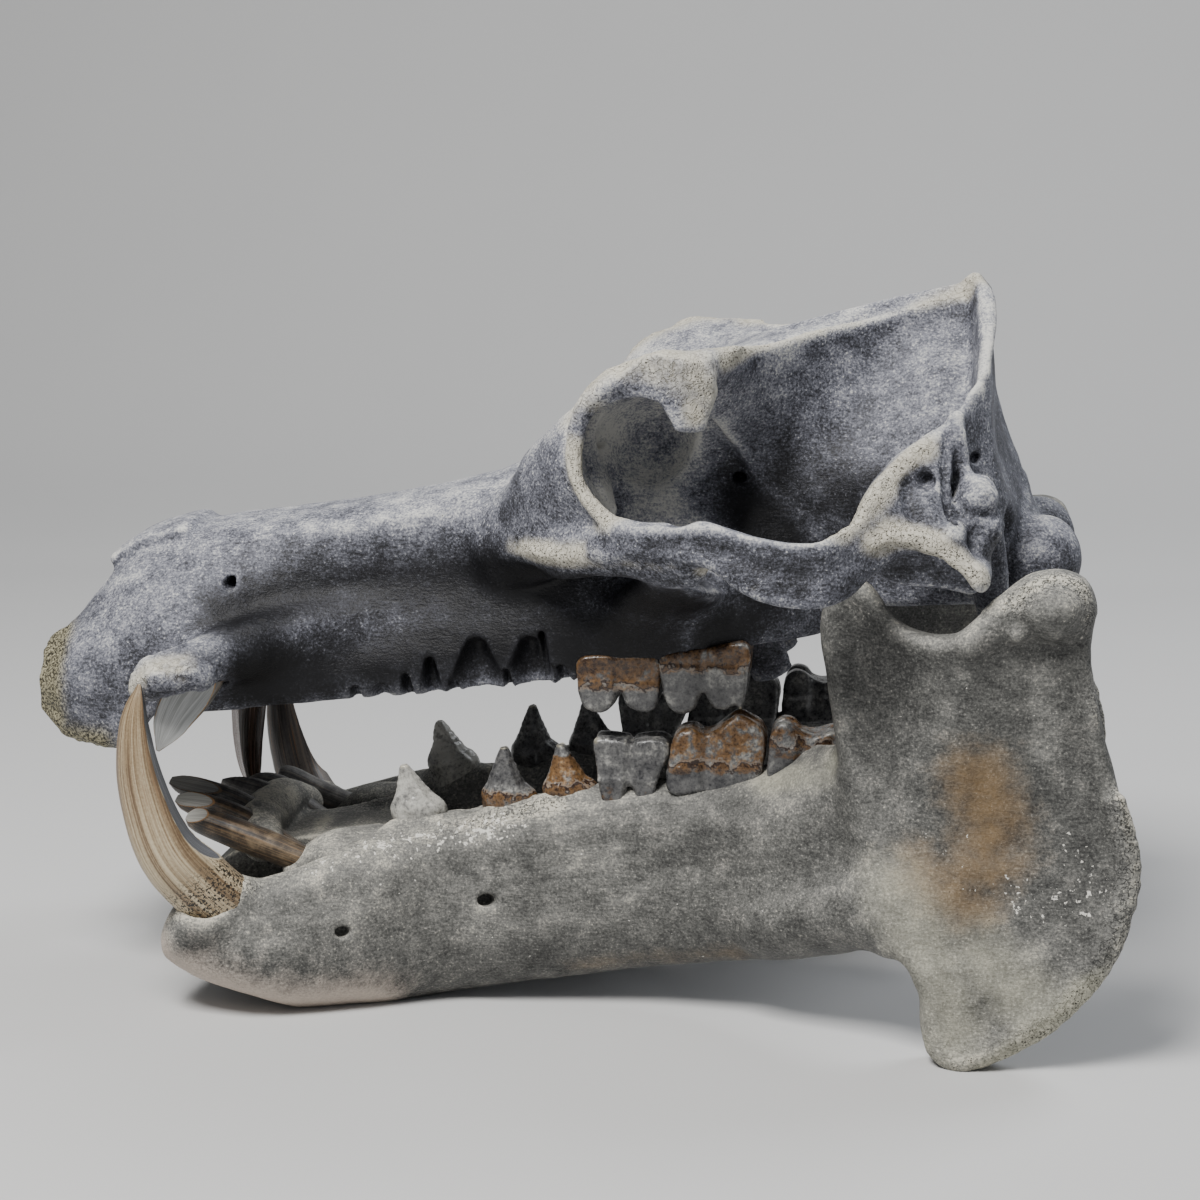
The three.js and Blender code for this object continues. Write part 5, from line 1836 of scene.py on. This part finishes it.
bench.feed(bench.soft(grain, 0.3, 0.7, 0.22, 0.42), shader.inputs["Roughness"])
bench.bumped(bench.sum((grain, 0.5), clouds), 0.5, 0.0008, shader)
for piece in bpy.data.objects:
    if "molar" in piece.name:
        piece.data.materials.append(tooth_finish)
print("nodes in the cheek teeth's finish:", len(tooth_finish.node_tree.nodes))

# %% The streaks of ivory
tusk_streaks, bench, given, put = group(
    "tusk_streaks",
    [("Grown", "Vector", None)],
    [("Broad", "Float"), ("Fine", "Float"), ("Specks", "Float"), ("Height", "Float")],
)
lengthways = bench.stretched(given["Grown"], (1.0, 1.0, 0.22))
broad = bench.noise(lengthways, 0.28, 2.0, 0.6)
fine = bench.noise(lengthways, 1.1, 3.0, 0.65)
specks = bench.noise(bench.stretched(given["Grown"], (1.0, 1.0, 14.0)), 0.9, 2.0, 0.7)
bench.feed(broad, put["Broad"])
bench.feed(fine, put["Fine"])
bench.feed(specks, put["Specks"])
bench.feed(bench.sum((fine, 0.8), (broad, 0.5)), put["Height"])
print("nodes in the streaks:", len(tusk_streaks.nodes))


# %% A finish for ivory
def tusk_finish(name, dark, middle, pale, streak, facet, edge, base_specks, gloss, blotch=0.0):
    """Streaks of a few shades lengthways, a worn face of its own colour with a thin bright edge, and dark
    specks near the root. blotch turns the streaks into blotches."""
    finish, bench, shader = new_finish(name)
    parts = bench.node("ShaderNodeGroup", node_tree=tusk_streaks)
    bench.feed(bench.kept("grown", True), parts.inputs["Grown"])
    broad, fine, specks = (parts.outputs[key] for key in ("Broad", "Fine", "Specks"))
    along, worn = bench.kept("along"), bench.kept("worn")
    if blotch:
        spots = bench.noise(bench.object_place(), 130.0)
        broad = bench.sum((broad, 1 - blotch), (spots, blotch))
    root = bench.soft(along, 0.75, 0.30)
    lightness = bench.sum((broad, 1.1), (fine, 0.9), (specks, 0.3), (root, 0.18), -0.74)
    colour = bench.ramp(lightness, [(0.30, dark), (0.50, middle), (0.78, pale)])
    colour = bench.mix(bench.soft(fine, 0.57, 0.72), colour, streak)
    near_root = bench.soft(along, 0.36, 0.22)
    flecks = bench.product(bench.soft(specks, 0.50, 0.56), near_root)
    colour = bench.mix(bench.product(flecks, base_specks), colour, shade(0.018, 0.014, 0.010))
    worn_shade = bench.mix(bench.soft(fine, 0.35, 0.65), facet, tuple(0.6 * c for c in facet[:3]) + (1.0,))
    colour = bench.mix(bench.soft(worn, 0.55, 0.9), colour, worn_shade)
    band = bench.product(bench.soft(worn, 0.02, 0.3), bench.soft(worn, 0.8, 0.5))
    colour = bench.mix(band, colour, edge)
    bench.feed(colour, shader.inputs["Base Color"])
    bench.feed(bench.soft(fine, 0.3, 0.7, gloss, gloss + 0.2), shader.inputs["Roughness"])
    bench.bumped(parts.outputs["Height"], 0.5, 0.0007, shader)
    return finish


# %% The tusks' and incisors' finishes
near_ivory = tusk_finish(
    "near_tusk_ivory", shade(0.13, 0.080, 0.042), shade(0.28, 0.205, 0.120), shade(0.57, 0.48, 0.33),
    shade(0.22, 0.125, 0.060), shade(0.12, 0.125, 0.14), shade(0.50, 0.44, 0.32), 1.0, 0.34,
)
upper_ivory = tusk_finish(
    "upper_tusk_ivory", shade(0.10, 0.09, 0.08), shade(0.20, 0.19, 0.18), shade(0.34, 0.32, 0.28),
    shade(0.30, 0.13, 0.04), shade(0.60, 0.61, 0.60), shade(0.55, 0.30, 0.10), 0.3, 0.25,
)
dark_ivory = tusk_finish(
    "dark_tusk_ivory", shade(0.012, 0.008, 0.006), shade(0.030, 0.017, 0.012), shade(0.055, 0.030, 0.020),
    shade(0.11, 0.06, 0.04), shade(0.20, 0.14, 0.12), shade(0.08, 0.04, 0.02), 0.0, 0.12,
)
far_ivory = tusk_finish(
    "far_tusk_ivory", shade(0.040, 0.034, 0.032), shade(0.10, 0.085, 0.075), shade(0.20, 0.17, 0.145),
    shade(0.30, 0.15, 0.06), shade(0.045, 0.045, 0.052), shade(0.22, 0.10, 0.04), 0.4, 0.3,
)
incisor_ivory = tusk_finish(
    "incisor_ivory", shade(0.022, 0.020, 0.019), shade(0.075, 0.055, 0.038), shade(0.25, 0.185, 0.115),
    shade(0.20, 0.11, 0.045), shade(0.50, 0.49, 0.45), shade(0.34, 0.18, 0.07), 0.3, 0.3, blotch=0.85,
)
grey_ivory = tusk_finish(
    "grey_incisor_ivory", shade(0.040, 0.039, 0.038), shade(0.11, 0.105, 0.098), shade(0.26, 0.245, 0.22),
    shade(0.16, 0.105, 0.055), shade(0.36, 0.35, 0.32), shade(0.22, 0.15, 0.09), 0.3, 0.4, blotch=0.9,
)
left_lower.data.materials.append(near_ivory)
right_lower.data.materials.append(far_ivory)
left_upper.data.materials.append(upper_ivory)
right_upper.data.materials.append(dark_ivory)
for piece in bpy.data.objects:
    if piece.name.startswith("incisor_rod"):
        browned = piece.name.endswith(("second_left", "third_left"))
        piece.data.materials.append(incisor_ivory if browned else grey_ivory)
print("finishes so far:", len(bpy.data.materials))

# %% [markdown]
# ## The floor, the camera and the lights
#
# A plain pale floor that curves up into a backdrop keeps the eye on the skull. The camera looks slightly
# down at the left side.

# %% The floor
FLOOR_HALF_WIDTH = 4.5  # metres, as all the sizes of the room are

bend = path([(1.3, 0.0), (1.75, 0.09), (2.05, 0.36), (2.2, 0.8)], 24)
floor_run = np.vstack([[(-3.0, 0.0)], bend, [(2.2, 3.4)]])  # how far back and how high the sheet lies
backdrop = bpy.data.meshes.new("floor")
corners = [(x, y, z) for y, z in floor_run for x in (-FLOOR_HALF_WIDTH, FLOOR_HALF_WIDTH)]
sheets = [(2 * i, 2 * i + 1, 2 * i + 3, 2 * i + 2) for i in range(len(floor_run) - 1)]
backdrop.from_pydata(corners, [], sheets)
smooth(backdrop)
floor = bpy.data.objects.new("floor", backdrop)
bpy.context.scene.collection.objects.link(floor)
floor_finish, bench, shader = new_finish("pale_floor")
mottle = bench.noise(bench.object_place(), 3.0)
bench.feed(bench.mix(mottle, shade(0.54, 0.54, 0.54), shade(0.57, 0.57, 0.565)), shader.inputs["Base Color"])
shader.inputs["Roughness"].default_value = 0.8
backdrop.materials.append(floor_finish)
print("faces of the floor:", len(sheets))

# %% The camera
camera = bpy.data.cameras.new("camera")
camera.lens = 81.0
camera.sensor_width = 36.0
camera.clip_end = 100
camera_object = bpy.data.objects.new("camera", camera)
bpy.context.scene.collection.objects.link(camera_object)
TURN, TILT = np.radians([-7.0, 10.5])
look = Vector((np.sin(TURN) * np.cos(TILT), np.cos(TURN) * np.cos(TILT), -np.sin(TILT)))
camera_object.location = (0.1995, -1.5519, 0.5131)
camera_object.rotation_euler = look.to_track_quat("-Z", "Y").to_euler()
bpy.context.scene.camera = camera_object
print("camera:", round(camera_object.location.length, 2), "m from the middle of the floor")


# %% The lights
def soft_lamp(name, at, aim, size, watts, tint):
    """A square soft box at a place, turned to face another."""
    lamp = bpy.data.lights.new(name, "AREA")
    lamp.size = size
    lamp.energy = watts
    lamp.color = tint
    holder = bpy.data.objects.new(name, lamp)
    holder.location = at
    holder.rotation_euler = (Vector(aim) - Vector(at)).to_track_quat("-Z", "Y").to_euler()
    bpy.context.scene.collection.objects.link(holder)


soft_lamp("key_lamp", (-0.55, -1.15, 2.1), (0, 0, 0.2), 0.9, 86, (1.0, 0.985, 0.96))
soft_lamp("rim_lamp", (1.3, 0.9, 1.8), (0.1, 0, 0.3), 0.9, 26, (0.93, 0.96, 1.0))
world = bpy.data.worlds.new("room")
bpy.context.scene.world = world
world.use_nodes = True
world.node_tree.nodes["Background"].inputs["Color"].default_value = (0.62, 0.64, 0.68, 1)
world.node_tree.nodes["Background"].inputs["Strength"].default_value = 0.32
print("lamps:", len(bpy.data.lights))
